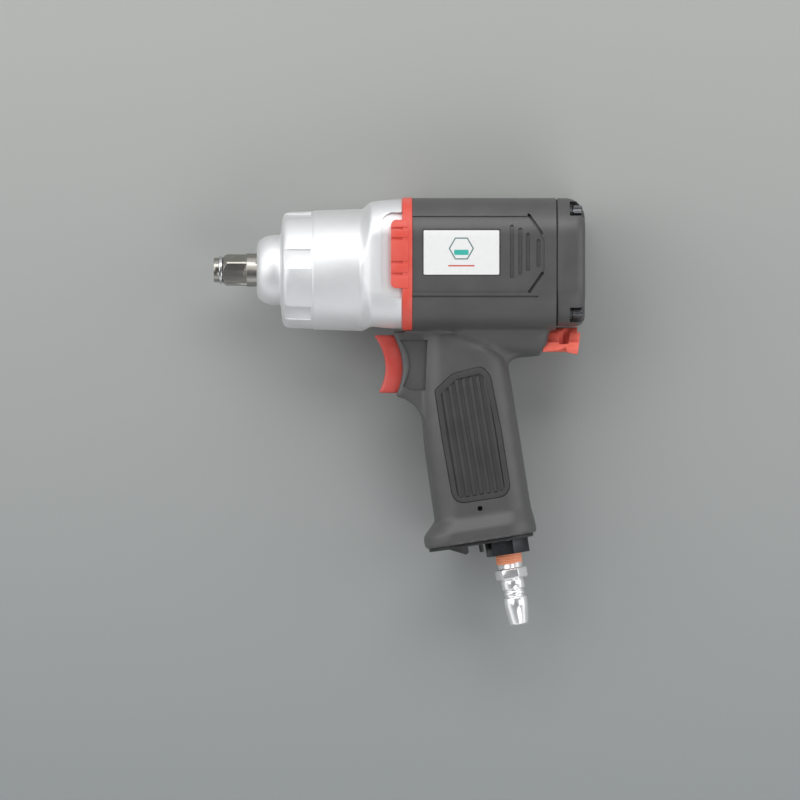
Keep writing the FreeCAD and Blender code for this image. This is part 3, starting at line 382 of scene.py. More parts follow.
def squared(name, line, points=96, spread_y=(15.6, 10.0)):
    """A body along the drive axis whose outline is a circle pulled apart, up, down and to both sides, into a
    rounded square. Its line is (x, corner radius, share of the pull) from its front to its rear."""
    spread_z = 13.0
    overrun = 0.001
    start, radius, share = line[0]
    piece = circle(name, radius, points)
    piece.rotation_euler = (0, 0, math.pi / points)
    settle(piece)
    piece.rotation_euler = (math.pi / 2, 0, math.pi / 2)
    piece.location.x = start * MM
    settle(piece)

    def pull(x, amount):
        for side_y, side_z in QUARTERS:
            edit(piece, lambda co: abs(co.x - x * MM) < 1e-7 and co.y * side_y > 0 and co.z * side_z > 0)
            up = spread_y[0] if side_y > 0 else spread_y[1]
            bpy.ops.transform.translate(value=(0, side_y * up * amount * MM, side_z * spread_z * amount * MM))
            bpy.ops.object.mode_set(mode="OBJECT")

    if share:
        pull(start, share)
    for (x0, r0, s0), (x1, r1, s1) in zip(line, line[1:]):
        edit(piece, lambda center, normal: abs(center.x - x0 * MM) < 0.005 * MM, "FACE")
        bpy.ops.mesh.extrude_region_move(TRANSFORM_OT_translate={"value": ((x1 - x0 + overrun) * MM, 0, 0)})
        bpy.ops.transform.resize(value=(1, r1 / r0, r1 / r0), center_override=(x1 * MM, 0, 0))
        bpy.ops.object.mode_set(mode="OBJECT")
        edit(piece, lambda co: co.x > (x1 + overrun / 2) * MM)
        bpy.ops.transform.translate(value=(-overrun * MM, 0, 0))
        bpy.ops.object.mode_set(mode="OBJECT")
        extra = s1 - s0 * r1 / r0
        if abs(extra) > 1e-6:
            pull(x1, extra)
    bpy.ops.object.mode_set(mode="EDIT")
    return done(piece)


def straight(name, x0, x1, corner):
    """A rounded square that stays the same from end to end."""
    return squared(name, [(x0, corner, 1.0), (x1, corner, 1.0)])


def rounded(corners, steps=5):
    """An outline with each corner (x, y, radius) turned to an arc."""
    points = []
    count = len(corners)
    for k, (x, y, radius) in enumerate(corners):
        here = Vector((x, y))
        before = (Vector(corners[k - 1][:2]) - here).normalized()
        after = (Vector(corners[(k + 1) % count][:2]) - here).normalized()
        if radius <= 0:
            points.append((x, y))
            continue
        half = before.angle(after) / 2
        center = here + (before + after).normalized() * radius / math.sin(half)
        first = here + before * radius / math.tan(half) - center
        last = here + after * radius / math.tan(half) - center
        turn = first.angle_signed(last)
        for step in range(steps + 1):
            arm = first.copy()
            arm.rotate(Matrix.Rotation(-turn * step / steps, 2))
            points.append(tuple(center + arm))
    return points


def oblong(x0, y0, x1, y1, radius=0.0, steps=5):
    """The outline of a rectangle between two opposite corners, with arcs where it has a radius."""
    return rounded([(x0, y0, radius), (x1, y0, radius), (x1, y1, radius), (x0, y1, radius)], steps)


def prism(name, outline, z0, z1):
    """A flat outline in the XY plane, raised from z0 to z1."""
    piece = circle(name, 1.0, len(outline))
    for vertex, (x, y) in zip(piece.data.vertices, outline):
        vertex.co = (x * MM, y * MM, z0 * MM)
    bpy.ops.object.mode_set(mode="EDIT")
    bpy.ops.mesh.select_all(action="SELECT")
    bpy.ops.mesh.extrude_region_move(TRANSFORM_OT_translate={"value": (0, 0, (z1 - z0) * MM)})
    return done(piece)


def block(name, low, high):
    """A box between two corners."""
    deselect()
    center = [(a + b) / 2 * MM for a, b in zip(low, high)]
    bpy.ops.mesh.primitive_cube_add(size=MM, location=center)
    piece = bpy.context.object
    piece.name = name
    piece.scale = [b - a for a, b in zip(low, high)]
    settle(piece)
    return piece


def rod_x(x0, x1, radius, y=0.0, z=0.0, points=48):
    """A round rod that runs along the tool."""
    return turned("rod", [(x0, radius), (x1, radius)], points, place=(0, y, z))


def bolt_rods(x0, x1, radius):
    """A rod at the place of each housing bolt."""
    return [rod_x(x0, x1, radius, y, z, 24) for y, z in bolt_places]


bend = math.radians(15)
nose_edge = [(nose_x + 8.5 * (1 - math.cos(k * bend)), 11.4 + 6.1 * math.sin(k * bend)) for k in range(7)]
case = turned("case_body", nose_edge + [
    (case_x - 0.9, 17.6), (case_x - 0.2, 17.9), (case_x, 18.6), (case_x + 0.3, 22.5), (case_x + 0.8, 26.0),
    (case_x + 1.4, 27.5), (case_x + 2.3, 28.4), (case_x + 3.5, 28.85), (case_x + 5.2, 29.0),
    (case_x + 16.0, 29.35), (case_x + 16.5, 29.75), (flare_x - 1.0, 30.45), (flare_x + 1.0, case_radius)],
    144)
flats = []
for k in range(6):
    flat = block("flat", (case_x - 0.45, 27.85, -4.8), (case_x + 15.05, 38.15, 4.8))
    flat.rotation_euler.x = math.radians(19.5 + 60 * k)
    settle(flat)
    flats.append(flat)
cut(case, *flats)

line = [(flare_x, case_radius, 0.0)]
for k in range(1, 9):
    t = k / 8
    ease = t * t * (3 - 2 * t)
    line.append((flare_x + 6.0 * t, case_radius + (flange_corner - case_radius) * ease, ease))
line += [
    (flange_x + 5.0, 18.9, 1.0), (flange_x + 10.0, 19.3, 1.0), (ring_x - 0.4, 19.5, 1.0), (ring_x, 19.1, 1.0)]
flange = squared("flange", line, 144)
boolean(case, "UNION", flange)


def shell_cut(name, outline, inner):
    """A tool that cuts an outline into both sides of a body, down to the inner body's surface."""
    return boolean(prism(name, outline, -60, 60), "DIFFERENCE", inner)


recess = rounded([
    (recess_x, 28.3, 6.0), (ring_x + 1.85, 28.3, 0), (ring_x + 1.85, -14.6, 0), (recess_x, -14.6, 6.0)], 6)
inner = squared("inner", [(recess_x - 3.6, 17.6, 1.0), (ring_x + 2.85, 18.1, 1.0)])
cut(case, shell_cut("recess", recess, inner))
cavity = rod_x(case_x + 4.4, ring_x + 4.85, cavity_radius, points=96)
nose_bore = rod_x(nose_x - 1.5, case_x + 5.0, 11.05)
cut(case, cavity, nose_bore, *bolt_rods(ring_x - 10.7, ring_x + 1, 2.55))
case.name = "hammer_case_cast"
round_edges(case, 0.35, 2, 30)
smooth(case, 30)
case.data.materials.append(finishes["case_silver"].material)
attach(case, "housing")
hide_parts("hammer_case")

# Collar ring: a red moulded spacer clamped between the case and the housing. On each side it carries a thumb
# pad with four grooves across it, which lies in the case's recess.
collar = straight("collar_ring_moulded", ring_x + 0.01, ring_x + 4.99, CORNER + 0.3)
cavity = rod_x(ring_x - 1, ring_x + 7, cavity_radius, points=96)
cut(collar, cavity, *bolt_rods(ring_x - 1, ring_x + 6, bolt_hole))
round_edges(collar, 0.5, 2, 40)
thumb_line = rounded([
    (ring_x - 5.6, 24.5, 2.6), (ring_x + 3.0, 24.5, 0.6), (ring_x + 3.0, -9.5, 0.6),
    (ring_x - 5.6, -9.5, 2.6)])
pads = prism("pads", thumb_line, -60, 60)
boolean(pads, "INTERSECT", straight("outer", ring_x - 9, ring_x + 4, CORNER + 0.6))
boolean(pads, "DIFFERENCE", straight("inner", ring_x - 10, ring_x + 6, CORNER - 2.6))
grooves = []
for y in (20.0, 15.0, 3.25, -2.5):
    outline = oblong(ring_x - 8, y - 0.75, ring_x + 3.6, y + 0.75)
    grooves.append(shell_cut("groove", outline, straight("inner", ring_x - 12, ring_x + 8, CORNER - 0.3)))
cut(pads, *grooves)
round_edges(pads, 0.4, 2, 40)
boolean(collar, "UNION", pads)
smooth(collar, 35)
collar.data.materials.append(finishes["red_plastic"].material)
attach(collar, "housing")
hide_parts("collar_ring")

# Motor housing: one glass-filled moulding of barrel, tail, trigger guard and handle, with large blends where
# they meet. Each side carries a stepped panel with air grooves, a recess for the name label and a thin line.
housing_x = ring_x + 5.0
housing_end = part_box("motor_housing")[1].x / MM
tail_end = housing_end - 3.5
handle_x = housing_x + 12.85
trigger_x = ring_x - 13.0
trigger_y = -46.0
lean = math.radians(9)
lever_y = -34.8
inlet_a = 12.5
# Each is the distance down the handle, the reach to the front and to the rear, and half the width.
grip_sections = (
    (10, 13.2, 24.2, 13.2), (36, 14.2, 26.2, 16.9), (62, 19.1, 27.3, 17.7), (90, 20.9, 27.3, 19.1),
    (124.0, 21.3, 27.3, 19.1), (131.0, 28.2, 28.2, 21.9), (137, 28.0, 28.5, 22.1))


def in_handle(piece):
    """Puts a piece drawn in the handle's own frame in place: x runs to the rear, z down the handle."""
    settle(piece)
    piece.rotation_euler = (math.pi / 2, 0, lean)
    piece.location.x = handle_x * MM
    settle(piece)
    return piece


def grip(name, grow=0.0, sections=grip_sections, corner=8.0):
    """The handle's solid, drawn out section by section from its neck to its foot."""
    points = 64
    b, front, rear, half = sections[0]
    corner += grow
    piece = circle(name, corner, points)
    piece.rotation_euler.z = math.pi / points
    piece.location.z = b * MM
    settle(piece)
    for side_a, side_z in QUARTERS:
        edit(piece, lambda co: co.x * side_a > 0 and co.y * side_z > 0)
        reach = rear if side_a > 0 else front
        move = (side_a * (reach + grow - corner) * MM, side_z * (half + grow - corner) * MM, 0)
        bpy.ops.transform.translate(value=move)
        bpy.ops.object.mode_set(mode="OBJECT")
    bpy.ops.object.mode_set(mode="EDIT")
    bpy.ops.mesh.select_mode(type="FACE")
    bpy.ops.mesh.select_all(action="SELECT")
    for (b0, f0, r0, h0), (b1, f1, r1, h1) in zip(sections, sections[1:]):
        across = (f1 + r1 + 2 * grow) / (f0 + r0 + 2 * grow)
        deep = (h1 + grow) / (h0 + grow)
        old, new = (r0 - f0) / 2, (r1 - f1) / 2
        bpy.ops.mesh.extrude_region_move(
            TRANSFORM_OT_translate={"value": ((new - old) * MM, 0, (b1 - b0) * MM)})
        bpy.ops.transform.resize(value=(across, deep, 1), center_override=(new * MM, 0, b1 * MM))
    return in_handle(done(piece))


def bow(x0, x1, x2, y0, y1):
    """Points along a shallow arc through three places: its ends are at heights y0 and y1."""
    steps = 12
    points = []
    for k in range(steps + 1):
        t = k / steps
        x = x0 * (1 - t) * (1 - 2 * t) + x1 * 4 * t * (1 - t) + x2 * t * (2 * t - 1)
        points.append((x, y0 + (y1 - y0) * t))
    return points


# The trigger guard, the tail, and the crotch and web that carry the tail on the handle and the barrel.
guard_line = bow(trigger_x + 7.3, trigger_x + 13.0, trigger_x + 9.5, -30.7, -63.2)
guard_line += [(trigger_x + 14.5, -64.4), (trigger_x + 20.0, -68.5), (trigger_x + 24.0, -76.0)]
guard_line += [(handle_x + 8, -76.0), (handle_x + 8, -26.0)]
guard_line += [(housing_x + 2.0, -26.0), (housing_x + 0.3, -30.7)]
guard = prism("guard", guard_line, -12.2, 12.2)

tail_line = [
    (handle_x + 4, -20.0), (tail_end, -20.0), (tail_end, -30.0), (housing_end - 7.2, -43.0),
    (handle_x + 40, -43.8), (handle_x + 33.5, -43.2), (handle_x + 8.5, -30.5)]
tail = prism("tail", tail_line, -18.0, 18.0)
boolean(tail, "INTERSECT", rod_x(handle_x - 5, housing_end, 16.6, -28.0, points=64))
crotch_line = [
    (handle_x + 12, -38.0), (handle_x + 30, -38.0), (handle_x + 40, -43.8), (handle_x + 36.5, -45.0),
    (handle_x + 33.8, -49.0), (handle_x + 12, -49.0)]
crotch = prism("crotch", crotch_line, -9.0, 9.0)
web_low = -38.5
web = block("web", (handle_x + 12, web_low, -25), (tail_end, -18, 25))
edit(web, lambda center, normal: normal.y < -0.9, "FACE")
bpy.ops.transform.resize(value=(1, 1, 0.42), center_override=((handle_x + 8) * MM, web_low * MM, 0))
bpy.ops.object.mode_set(mode="OBJECT")
edit(web, lambda co: co.x < (handle_x + 20) * MM and co.y < -30 * MM)
bpy.ops.transform.translate(value=(9 * MM, 0, 0))
bpy.ops.object.mode_set(mode="OBJECT")

# All of them, the barrel and the handle are melted into one skin, and its blends are smoothed.
housing = straight("housing_moulding", housing_x - 3, housing_end + 3, CORNER + 0.1)
neck_sections = ((6, 12.6, 24.0, 12.4), (46, 15.0, 25.8, 12.6))
neck = grip("neck", sections=neck_sections, corner=7.0)
handle_sections = ((14, 12.9, 25.0, 14.4), (38, 14.6, 26.3, 15.9), *grip_sections[2:])
handle = grip("handle", sections=handle_sections, corner=10.0)
edit(handle, lambda co: True)
bpy.ops.mesh.bisect(
    plane_co=((handle_x - 8) * MM, -24 * MM, 0), plane_no=(0.41, 1, 0), use_fill=True, clear_outer=True)
bpy.ops.object.mode_set(mode="OBJECT")
edit(handle, lambda center, normal: normal.y > 0.9 and center.y > -50 * MM, "FACE")
bpy.ops.mesh.bevel(offset=4.5 * MM, segments=4, affect="EDGES")
bpy.ops.object.mode_set(mode="OBJECT")
take(housing)
for body in (guard, tail, crotch, web, neck, handle):
    body.select_set(True)
bpy.ops.object.join()
finish_modifier(housing, "REMESH", mode="VOXEL", voxel_size=0.95 * MM, adaptivity=0.0)
finish_modifier(housing, "SMOOTH", factor=0.5, iterations=9)
edit(housing, lambda co: -53 * MM < co.y < -27 * MM and co.x > (handle_x - 10) * MM)
bpy.ops.mesh.vertices_smooth(factor=0.5, repeat=10)
bpy.ops.object.mode_set(mode="OBJECT")

# The ends are faced off, and the rooms for the motor, the bolts, the trigger, the valves and the air are cut.
front_off = block("front_off", (housing_x - 12, -30.62, -60), (housing_x, 60, 60))
rear_off = block("rear_off", (housing_end, -60, -60), (housing_end + 12, 60, 60))
motor_bore = turned("bore", [(housing_x - 2, 20.0), (housing_x + 1.5, 20.0), (housing_x + 1.5, 25.02),
                             (housing_end + 2, 25.02)])
cut(housing, front_off, rear_off)
cut(housing, motor_bore, *bolt_rods(housing_x - 2, housing_end + 2, bolt_hole))


def trigger_line(front, back, grow=0.0):
    """The side outline of the trigger, or of the room for it."""
    top, low = -32.6 + grow, -61.5 - grow
    return (bow(front - 1.2, front + 4.5, front + 1.0, top, low)
            + bow(back, back + 2.25, back - 2.5, low, top))


slot = prism("slot", trigger_line(trigger_x - 6, trigger_x + 18.6, 0.3), -7.7, 7.7)
lock_hole = turned("pin_hole", [(-30, 1.27), (30, 1.27)], 24, ALONG_Y, (2.0, 0, 120.8))
felt_room = block("felt_room", (-18.7, -16, 127), (0, 16, 139))
cut(housing, slot, in_handle(lock_hole), in_handle(felt_room))
rod_bore = turned("rod_bore", [(trigger_x + 15, 4.52), (trigger_x + 32.3, 4.52), (trigger_x + 32.3, 2.4),
                               (trigger_x + 50.8, 2.4)], 32, place=(0, trigger_y, 0))
valve_bore = rod_x(housing_end - 29.6, housing_end + 1, 7.02, lever_y)
cut(housing, rod_bore, valve_bore)
chamber = turned("chamber", [(40, 8.72), (111.9, 8.72), (111.9, 11.02), (139, 11.02)], 64, ALONG_Z,
                 (inlet_a, 0, 0))
well = rod_x(housing_end - 7.4, housing_end + 1, 11.35, lever_y)
boolean(well, "INTERSECT", block("below", (housing_end - 30, -60, -20), (housing_end + 20, -30.9, 20)))
cut(housing, in_handle(chamber), well)

# The barrel's sides: the stepped panel, its grooves, the label's recess and the thin line.
panel = rounded([
    (housing_x - 2, 26.4, 0), (housing_x + 57.5, 26.4, 1.0), (housing_x + 65.6, 14.5, 1.0),
    (housing_x + 65.6, -1.0, 1.0), (housing_x + 58.0, -11.6, 1.0), (housing_x - 2, -11.6, 0)], 3)


def barrel_shell(depth):
    """The barrel's outline at a depth under its surface."""
    return straight("inner", housing_x - 8, housing_end + 8, CORNER - depth)


def slanted(x, y, length, width, angle):
    """A straight slot with round ends, from its middle and its angle."""
    points = []
    for side in (0, 1):
        for k in range(7):
            turn = math.radians(angle + 90 + 180 * side + 30 * k)
            reach = (length - width) / 2 * (1 if side else -1)
            points.append((x + reach * math.cos(math.radians(angle)) + width / 2 * math.cos(turn),
                           y + reach * math.sin(math.radians(angle)) + width / 2 * math.sin(turn)))
    return points


cut(housing, shell_cut("panel_step", panel, barrel_shell(0.55)))
grooves = []
for x, y, length in ((49.4, 8.8, 26.5), (53.6, 8.8, 23.5), (57.4, 8.5, 19.0), (62.6, 8.0, 14.0)):
    grooves.append(shell_cut("air_groove", slanted(housing_x + x, y, length, 2.0, 90), barrel_shell(1.4)))
for x, y, angle in ((61.0, 22.4, -55.0), (61.4, -6.6, 55.0)):
    grooves.append(shell_cut("slant", slanted(housing_x + x, y, 12.6, 1.5, angle), barrel_shell(1.9)))
cut(housing, *grooves)
label_line = oblong(housing_x + 4.9, 20.0, housing_x + 43.9, -3.4, 0.8, 3)
label_room = shell_cut("label_room", label_line, barrel_shell(1.0))
thin_line = shell_cut("line", slanted(housing_x + 31.0, -13.6, 63.0, 0.9, 0), barrel_shell(0.6))
cut(housing, label_room, thin_line)

# A shallow step in the guard's sides, and the rooms that the grip pads are let into.
guard_step = bow(trigger_x + 11.6, trigger_x + 16.2, trigger_x + 13.2, -35.0, -58.0)
guard_step += [(trigger_x + 17.5, -60.3), (trigger_x + 24.5, -60.3), (trigger_x + 25.6, -35.0)]
guard_cuts = [prism("guard_step", guard_step, 11.1, 16), prism("guard_step", guard_step, -16, -11.1)]

pad_line = rounded([
    (-11.3, 59.0, 2.5), (-1.0, 52.2, 6.0), (14.0, 50.8, 4.0), (17.6, 56.0, 4.0), (18.7, 84.0, 30.0),
    (18.6, 117.0, 6.0), (-10.8, 117.0, 6.0), (-11.5, 84.0, 30.0)], 4)


def grip_prism(name, outline, inset=0.0):
    """An outline on the handle's side, through the whole handle. Its points are (a, b)."""
    middle_a = sum(a for a, b in outline) / len(outline)
    middle_b = sum(b for a, b in outline) / len(outline)
    spread_a = max(a for a, b in outline) - middle_a
    spread_b = max(b for a, b in outline) - middle_b
    moved = []
    for a, b in outline:
        moved.append((a - (a - middle_a) * inset / spread_a, b - (b - middle_b) * inset / spread_b))
    piece = prism(name, moved, -60, 60)
    piece.rotation_euler.x = math.pi / 2
    settle(piece)
    return in_handle(piece)


pad_room = boolean(grip_prism("pad_room", pad_line), "DIFFERENCE", grip("inner", -1.5))
cut(housing, pad_room, *guard_cuts)
smooth(housing, 35)
housing.data.materials.append(finishes["composite"].material)
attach(housing, "housing")
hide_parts("motor_housing")

# Grip pads: a soft ribbed panel let into each side of the handle, with a plain rim and seven ribs that run
# down the handle. The two are the same moulding, mirrored.
first_rib = -6.9
rib_pitch = 3.55


def far_side():
    """All that lies on the tool's right side."""
    return block("far_side", (60, -160, -60), (190, 60, 0))


pad = boolean(grip_prism("grip_pad_left", pad_line, 0.3), "INTERSECT", grip("outer", 0.1))
boolean(pad, "DIFFERENCE", grip("inner", -1.45), far_side())
rim_line = rounded([
    (-8.4, 61.5, 1.5), (0.6, 55.4, 3.0), (12.6, 54.4, 2.0), (14.9, 58.0, 2.0), (15.9, 84.0, 30.0),
    (15.8, 114.3, 3.0), (-8.1, 114.3, 3.0), (-8.7, 84.0, 30.0)], 4)
hollow = boolean(grip_prism("hollow", rim_line), "DIFFERENCE", grip("inner", -0.75))
ribs = []
for k in range(7):
    a = first_rib + rib_pitch * k
    top = 60.5 - (a - first_rib) * 0.62 if a < 1 else 55.9
    if a > 12.5:
        top = 57.0
    rib_line = [(a - 0.85, top), (a + 0.85, top - 0.6), (a + 1.0, 113.6), (a - 0.7, 113.6)]
    rib = boolean(grip_prism("rib", rib_line), "INTERSECT", grip("outer", -0.05))
    boolean(rib, "DIFFERENCE", grip("inner", -1.3), far_side())
    ribs.append(rib)
cut(pad, hollow)
take(pad)
for rib in ribs:
    rib.select_set(True)
bpy.ops.object.join()
round_edges(pad, 0.22, 2, 40)
smooth(pad, 35)
take(pad)
bpy.ops.object.duplicate()
other_pad = bpy.context.object
other_pad.name = "grip_pad_right"
other_pad.scale.z = -1
settle(other_pad)
bpy.ops.object.mode_set(mode="EDIT")
done(other_pad)
soft = moulding("soft_grip", (0.036, 0.036, 0.036), 0.62, 1100.0, 0.00005)
for piece in (pad, other_pad):
    piece.data.materials.clear()
    piece.data.materials.append(soft.material)
    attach(piece, "housing")

# Name label: a white film stuck in its recess. It carries a plain printed hexagon with a bar in it and a rule
# below, and no lettering.
label = prism("label_film", oblong(housing_x + 5.6, 19.25, housing_x + 43.1, -2.75, 0.5, 2), 20, 60)
boolean(label, "INTERSECT", barrel_shell(0.6))
boolean(label, "DIFFERENCE", barrel_shell(0.97))
label.data.materials.append(finishes["white_label"].material)
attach(label, "housing")
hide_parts("name_label")


def printed(name, outline, color, holes=()):
    """A thin layer of ink on the label."""
    ink = prism(name, outline, 20, 60)
    boolean(ink, "DIFFERENCE", *holes)
    boolean(ink, "INTERSECT", barrel_shell(0.57))
    boolean(ink, "DIFFERENCE", barrel_shell(0.62))
    finish = moulding(name + "_ink", color, 0.4, 300.0, 0.00001, 0.01)
    ink.data.materials.append(finish.material)
    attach(ink, "housing")


label_x, label_y = housing_x + 24.3, 8.6


def hexagon_line(radius):
    """A hexagon's outline about the middle of the label's ring."""
    turns = [math.radians(60 * k) for k in range(6)]
    return [(label_x + radius * math.cos(turn), label_y + 1.6 + radius * math.sin(turn)) for turn in turns]


bar_line = oblong(label_x - 3.6, label_y + 1.0, label_x + 3.6, label_y - 1.6, 0.5, 2)
rule_line = oblong(label_x - 6.5, label_y - 6.6, label_x + 6.5, label_y - 7.3)
ring_hole = prism("ring_hole", hexagon_line(5.6), 10, 70)
printed("label_ring", hexagon_line(6.3), (0.12, 0.2, 0.2), [ring_hole])
printed("label_bar", bar_line, (0.05, 0.42, 0.36))
printed("label_rule", rule_line, (0.55, 0.09, 0.07))

# End cap: a moulded rear cover over the motor, with a large rounding at its top rear edge and a pocket at
# each corner for a bolt. The pockets open to the rear and outwards.
cap_x = housing_end + 0.6
rear_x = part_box("end_cap")[1].x / MM
edge = 4.6
pocket_radius = 6.4
cap_line = [(cap_x, CORNER - 0.4, 1.0), (cap_x + 0.4, CORNER, 1.0), (rear_x - edge, CORNER, 1.0)]
for k in range(1, 7):
    turn = math.radians(15 * k)
    cap_line.append((rear_x - edge + edge * math.sin(turn), CORNER - edge + edge * math.cos(turn), 1.0))
cap = squared("end_cap_moulded", cap_line, spread_y=(15.6, 8.2))
side_line = rounded([
    (cap_x - 3, 35.7, 0), (rear_x + 0.01, 35.7, 10.5), (rear_x + 0.01, -28.3, 3.8), (cap_x - 3, -28.3, 0)],
    10)
boolean(cap, "INTERSECT", prism("side", side_line, -60, 60))
pockets = []
for y, z in bolt_places:
    out_y, out_z = math.copysign(5.2, y), math.copysign(5.2, z)
    pocket = rod_x(rear_x - 7.6, rear_x + 2, pocket_radius, y, z, 40)
    boolean(pocket, "UNION", rod_x(rear_x - 7.6, rear_x + 2, pocket_radius, y + out_y, z + out_z, 40))
    pockets.append(pocket)
cut(cap, *pockets)
cut(cap, *bolt_rods(cap_x - 1, rear_x, bolt_hole))
cut(cap, rod_x(cap_x - 1, cap_x + 3, 10.0, points=48))
round_edges(cap, 0.45, 2, 38)
spigot = turned("spigot", [(housing_end - 5.95, 24.8), (cap_x + 0.3, 24.8)], 96)
cut(spigot, rod_x(housing_end - 7, cap_x + 1, 10.0))
boolean(cap, "UNION", spigot)
smooth(cap, 35)
cap.data.materials.append(finishes["composite"].material)
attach(cap, "housing")
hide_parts("end_cap")

# Housing bolts: four socket-head screws in black oxide, each with a knurled head and a hexagon key hole.
bolt = turned("housing_bolt", [
    (ring_x - 10.4, 2.1), (ring_x - 10.0, 2.5), (rear_x - 6.3, 2.5), (rear_x - 6.3, 4.0),
    (rear_x - 6.1, 4.25), (rear_x - 1.9, 4.25), (rear_x - 1.4, 3.75)], 48)
knurls = []
for k in range(16):
    turn = math.radians(22.5 * k + 11.25)
    knurls.append(rod_x(rear_x - 5.6, rear_x - 1.0, 0.42, 4.4 * math.cos(turn), 4.4 * math.sin(turn), 8))
cut(bolt, *knurls)
cut(bolt, rod_x(rear_x - 4.2, rear_x, 2.31, points=6))
smooth(bolt, 35)
shiny_black = metal("bolt_black", (0.10, 0.10, 0.105), 0.22, specks=0.02)
bolt.data.materials.append(shiny_black.material)
for number, (y, z) in enumerate(bolt_places):
    take(bolt)
    bpy.ops.object.duplicate()
    screw = bpy.context.object
    screw.name = "housing_bolt_" + "abcd"[number]
    screw.location = (0, y * MM, z * MM)
    settle(screw)
    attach(screw, "housing")
    if number == 0:
        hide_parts("housing_bolts")
bpy.data.objects.remove(bolt)

# Trigger: a red moulded finger piece with a hollowed front and soft edges, pressed onto its rod inside the
# guard.
trigger = prism("trigger_moulded", trigger_line(trigger_x, trigger_x + 12.0), -7.5, 7.5)
round_edges(trigger, 1.5, 4, 50)
rod_hole = rod_x(trigger_x + 7.5, trigger_x + 20, 2.22, trigger_y, points=32)
pin_room = turned("pin_room", [(-7.05, 1.02), (7.05, 1.02)], 24, ALONG_Z, (trigger_x + 9.5, trigger_y, 0))
cut(trigger, rod_hole)
cut(trigger, pin_room)
smooth(trigger, 40)
# The trigger's red is a darker copy of the red moulding: painted shade for a trigger set low in the guard.
shaded_trigger_red = moulding("trigger_painted_shade_moulding", (0.50, 0.062, 0.048), 0.42, specks=0.02)
trigger.data.materials.append(shaded_trigger_red.material)
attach(trigger, "trigger_group")
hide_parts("trigger")

# Reverse lever: a red moulded paddle on the valve's neck, with a stepped thumb slot on each side of its web.
# It swings from one side of the tool to the other under the end cap.
lever_x = housing_end - 3.2
end_x = lever_x + 16.0
lever_line = [
    (lever_x - 0.6, -31.4), (lever_x - 3.4, -41.0), (lever_x + 4.5, -40.2), (lever_x + 8.2, -38.6),
    (lever_x + 9.0, -41.2), (end_x - 1.8, -42.2), (end_x - 0.4, -31.4)]
lever = prism("reverse_lever_moulded", lever_line, -10.0, 10.0)
boolean(lever, "INTERSECT", rod_x(lever_x - 9, end_x + 5, 10.9, lever_y, points=64))
boolean(lever, "UNION", rod_x(lever_x - 1.8, end_x - 1.9, 6.2, lever_y, points=64))
for bottom, radius in ((-36.2, 6.95), (-31.4, 6.25)):
    upper = block("upper", (lever_x - 9, bottom, -20), (end_x + 9, 0, 20))
    boolean(upper, "DIFFERENCE", rod_x(lever_x - 19, end_x + 19, radius, lever_y, points=64))
    cut(lever, upper)
for start, depth in ((4.9, 4.7), (6.9, 2.8)):
    slots = []
    for side in (1, -1):
        slots.append(prism("thumb_slot", [
            (lever_x + start, -20), (lever_x + start, -37.2), (lever_x + 9.6, -36.9), (lever_x + 12.2, -20)],
            side * depth, side * 12))
    cut(lever, *slots)
cut(lever, turned("bore", [
    (lever_x - 9, 4.42), (lever_x + 6.62, 4.42), (lever_x + 6.62, 2.02), (end_x - 4.2, 2.02),
    (end_x - 4.2, 3.42), (end_x + 9, 3.42)], 40, place=(0, lever_y, 0)))
round_edges(lever, 0.4, 2, 40)
smooth(lever, 40)
# The lever's red is a lighter copy of the red moulding: painted light on legs that the end cap shades from
# the top lamp.
lit_lever_red = moulding("lever_painted_light_moulding", (0.92, 0.16, 0.11), 0.42, specks=0.02)
lever.data.materials.append(lit_lever_red.material)
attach(lever, "reverse_group")
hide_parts("reverse_lever")


def from_frame(node, name, width, body, finish):
    """A copy of a CAD node, merged and with its edges broken by a small round."""
    take(nodes[node])
    bpy.ops.object.duplicate()
    piece = bpy.context.object
    piece.name = name
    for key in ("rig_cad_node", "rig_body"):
        if key in piece:
            del piece[key]
    piece.parent = None
    bpy.ops.object.mode_set(mode="EDIT")
    bpy.ops.mesh.select_mode(type="VERT")
    bpy.ops.mesh.select_all(action="SELECT")
    bpy.ops.mesh.remove_doubles(threshold=0.002 * MM)
    bpy.ops.mesh.dissolve_limited(angle_limit=math.radians(0.5))
    bpy.ops.object.mode_set(mode="OBJECT")
    round_edges(piece, width, 2, 30)
    smooth(piece, 30)
    piece.data.materials.clear()
    piece.data.materials.append(finish.material)
    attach(piece, body)
    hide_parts(node)
    return piece


# Anvil: forged and ground alloy steel with a brownish heat-treated skin. The friction ring that holds the
# socket is spring steel.
anvil_finish = metal("anvil_steel", (0.36, 0.345, 0.315), 0.26, around_x, specks=0.06)
from_frame("anvil", "anvil_ground", 0.35, "drive", anvil_finish)
ring_steel = finishes["machined_steel"]
from_frame("friction_ring", "friction_ring_round", 0.25, "drive", ring_steel)

# Air inlet: a black hexagonal bushing in the handle's foot, and in it a plated coupler plug on a thread wound
# with orange sealant. The places along both are distances down the handle.
from_frame("inlet_bushing", "inlet_bushing_turned", 0.35, "housing", finishes["black_steel"])
bushing_end = 145.8
thread_start = bushing_end - 14.0
thread_end = bushing_end + 5.0
thread_pitch = 1.34


def on_inlet(piece):
    """Moves a piece turned about the handle's axis onto the inlet's axis, and puts it in place."""
    piece.location.x = inlet_a * MM
    return in_handle(piece)


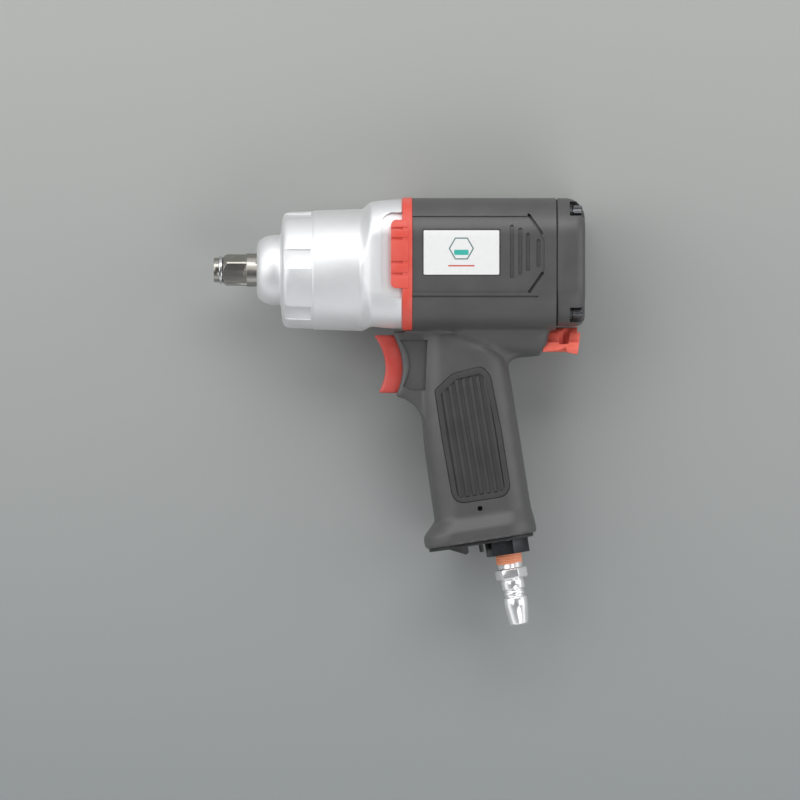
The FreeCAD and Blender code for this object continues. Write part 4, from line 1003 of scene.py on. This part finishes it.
ridges = [(thread_start, 6.25)]
for k in range(14):
    start = thread_start + thread_pitch * k
    ridges += [(start + 0.25, 6.52), (start + 0.75, 6.52), (start + 1.1, 6.3)]
ridges = [(b, r) for b, r in ridges if b < thread_end - 0.2] + [(thread_end, 6.25)]
seal = turned("thread_seal_wound", ridges, 64, ALONG_Z)
cut(seal, turned("core", [(thread_start - 6, 6.21), (thread_end + 3, 6.21)], 64, ALONG_Z))
edit(seal, lambda co: co.z > 0)
turn_center = (0, 0, (bushing_end + 1) * MM)
bpy.ops.transform.rotate(value=math.radians(3.0), orient_axis="Y", center_override=turn_center)
bpy.ops.object.mode_set(mode="OBJECT")
on_inlet(seal)
smooth(seal, 30)
seal.data.materials.append(finishes["orange_sealant"].material)
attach(seal, "housing")
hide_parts("thread_seal")

plug_line = (
    (-20.0, 5.9), (-19.6, 6.2), (2.0, 6.2), (2.3, 6.4), (7.3, 6.4), (7.5, 5.4), (8.0, 5.4), (8.2, 5.8),
    (12.2, 5.85), (12.6, 5.6), (12.9, 4.8), (13.7, 4.8), (14.1, 5.2), (15.2, 5.2), (15.5, 4.7), (16.3, 4.7),
    (16.8, 5.6), (17.2, 5.85), (21.5, 5.85), (22.2, 5.7), (29.8, 4.75), (30.5, 4.2))
hexagon_edge = ((2.2, 7.5), (2.7, 8.083), (6.9, 8.083), (7.4, 7.5))
plug = turned("coupler_plug_turned", [(thread_end + b, radius) for b, radius in plug_line], 72, ALONG_Z)
hexagon = turned("hexagon", [(thread_end + b, radius) for b, radius in hexagon_edge], 6, ALONG_Z)
hexagon.rotation_euler.z = math.radians(-25)
settle(hexagon)
boolean(plug, "UNION", hexagon)
cut(plug, turned("bore", [(thread_start - 4, 3.75), (thread_end + 34, 3.75)], 48, ALONG_Z))
round_edges(plug, 0.2, 2, 35)
on_inlet(plug)
smooth(plug, 35)
plug.data.materials.append(finishes["chrome_plate"].material)
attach(plug, "housing")
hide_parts("coupler_plug")

# Exhaust deflector: a moulded plate under the handle's foot, with a hood that throws the air to the rear. The
# lock pin, which shows deep in its hole above the foot, is blackened steel.
dark_moulding = moulding("deflector_moulding", (0.018, 0.018, 0.019), 0.45)
from_frame("exhaust_deflector", "exhaust_deflector_moulded", 0.3, "housing", dark_moulding)
pin_black = metal("pin_black", (0.012, 0.012, 0.012), 0.6, specks=0.002)
nodes["lock_pin"].data.materials[0] = pin_black.material
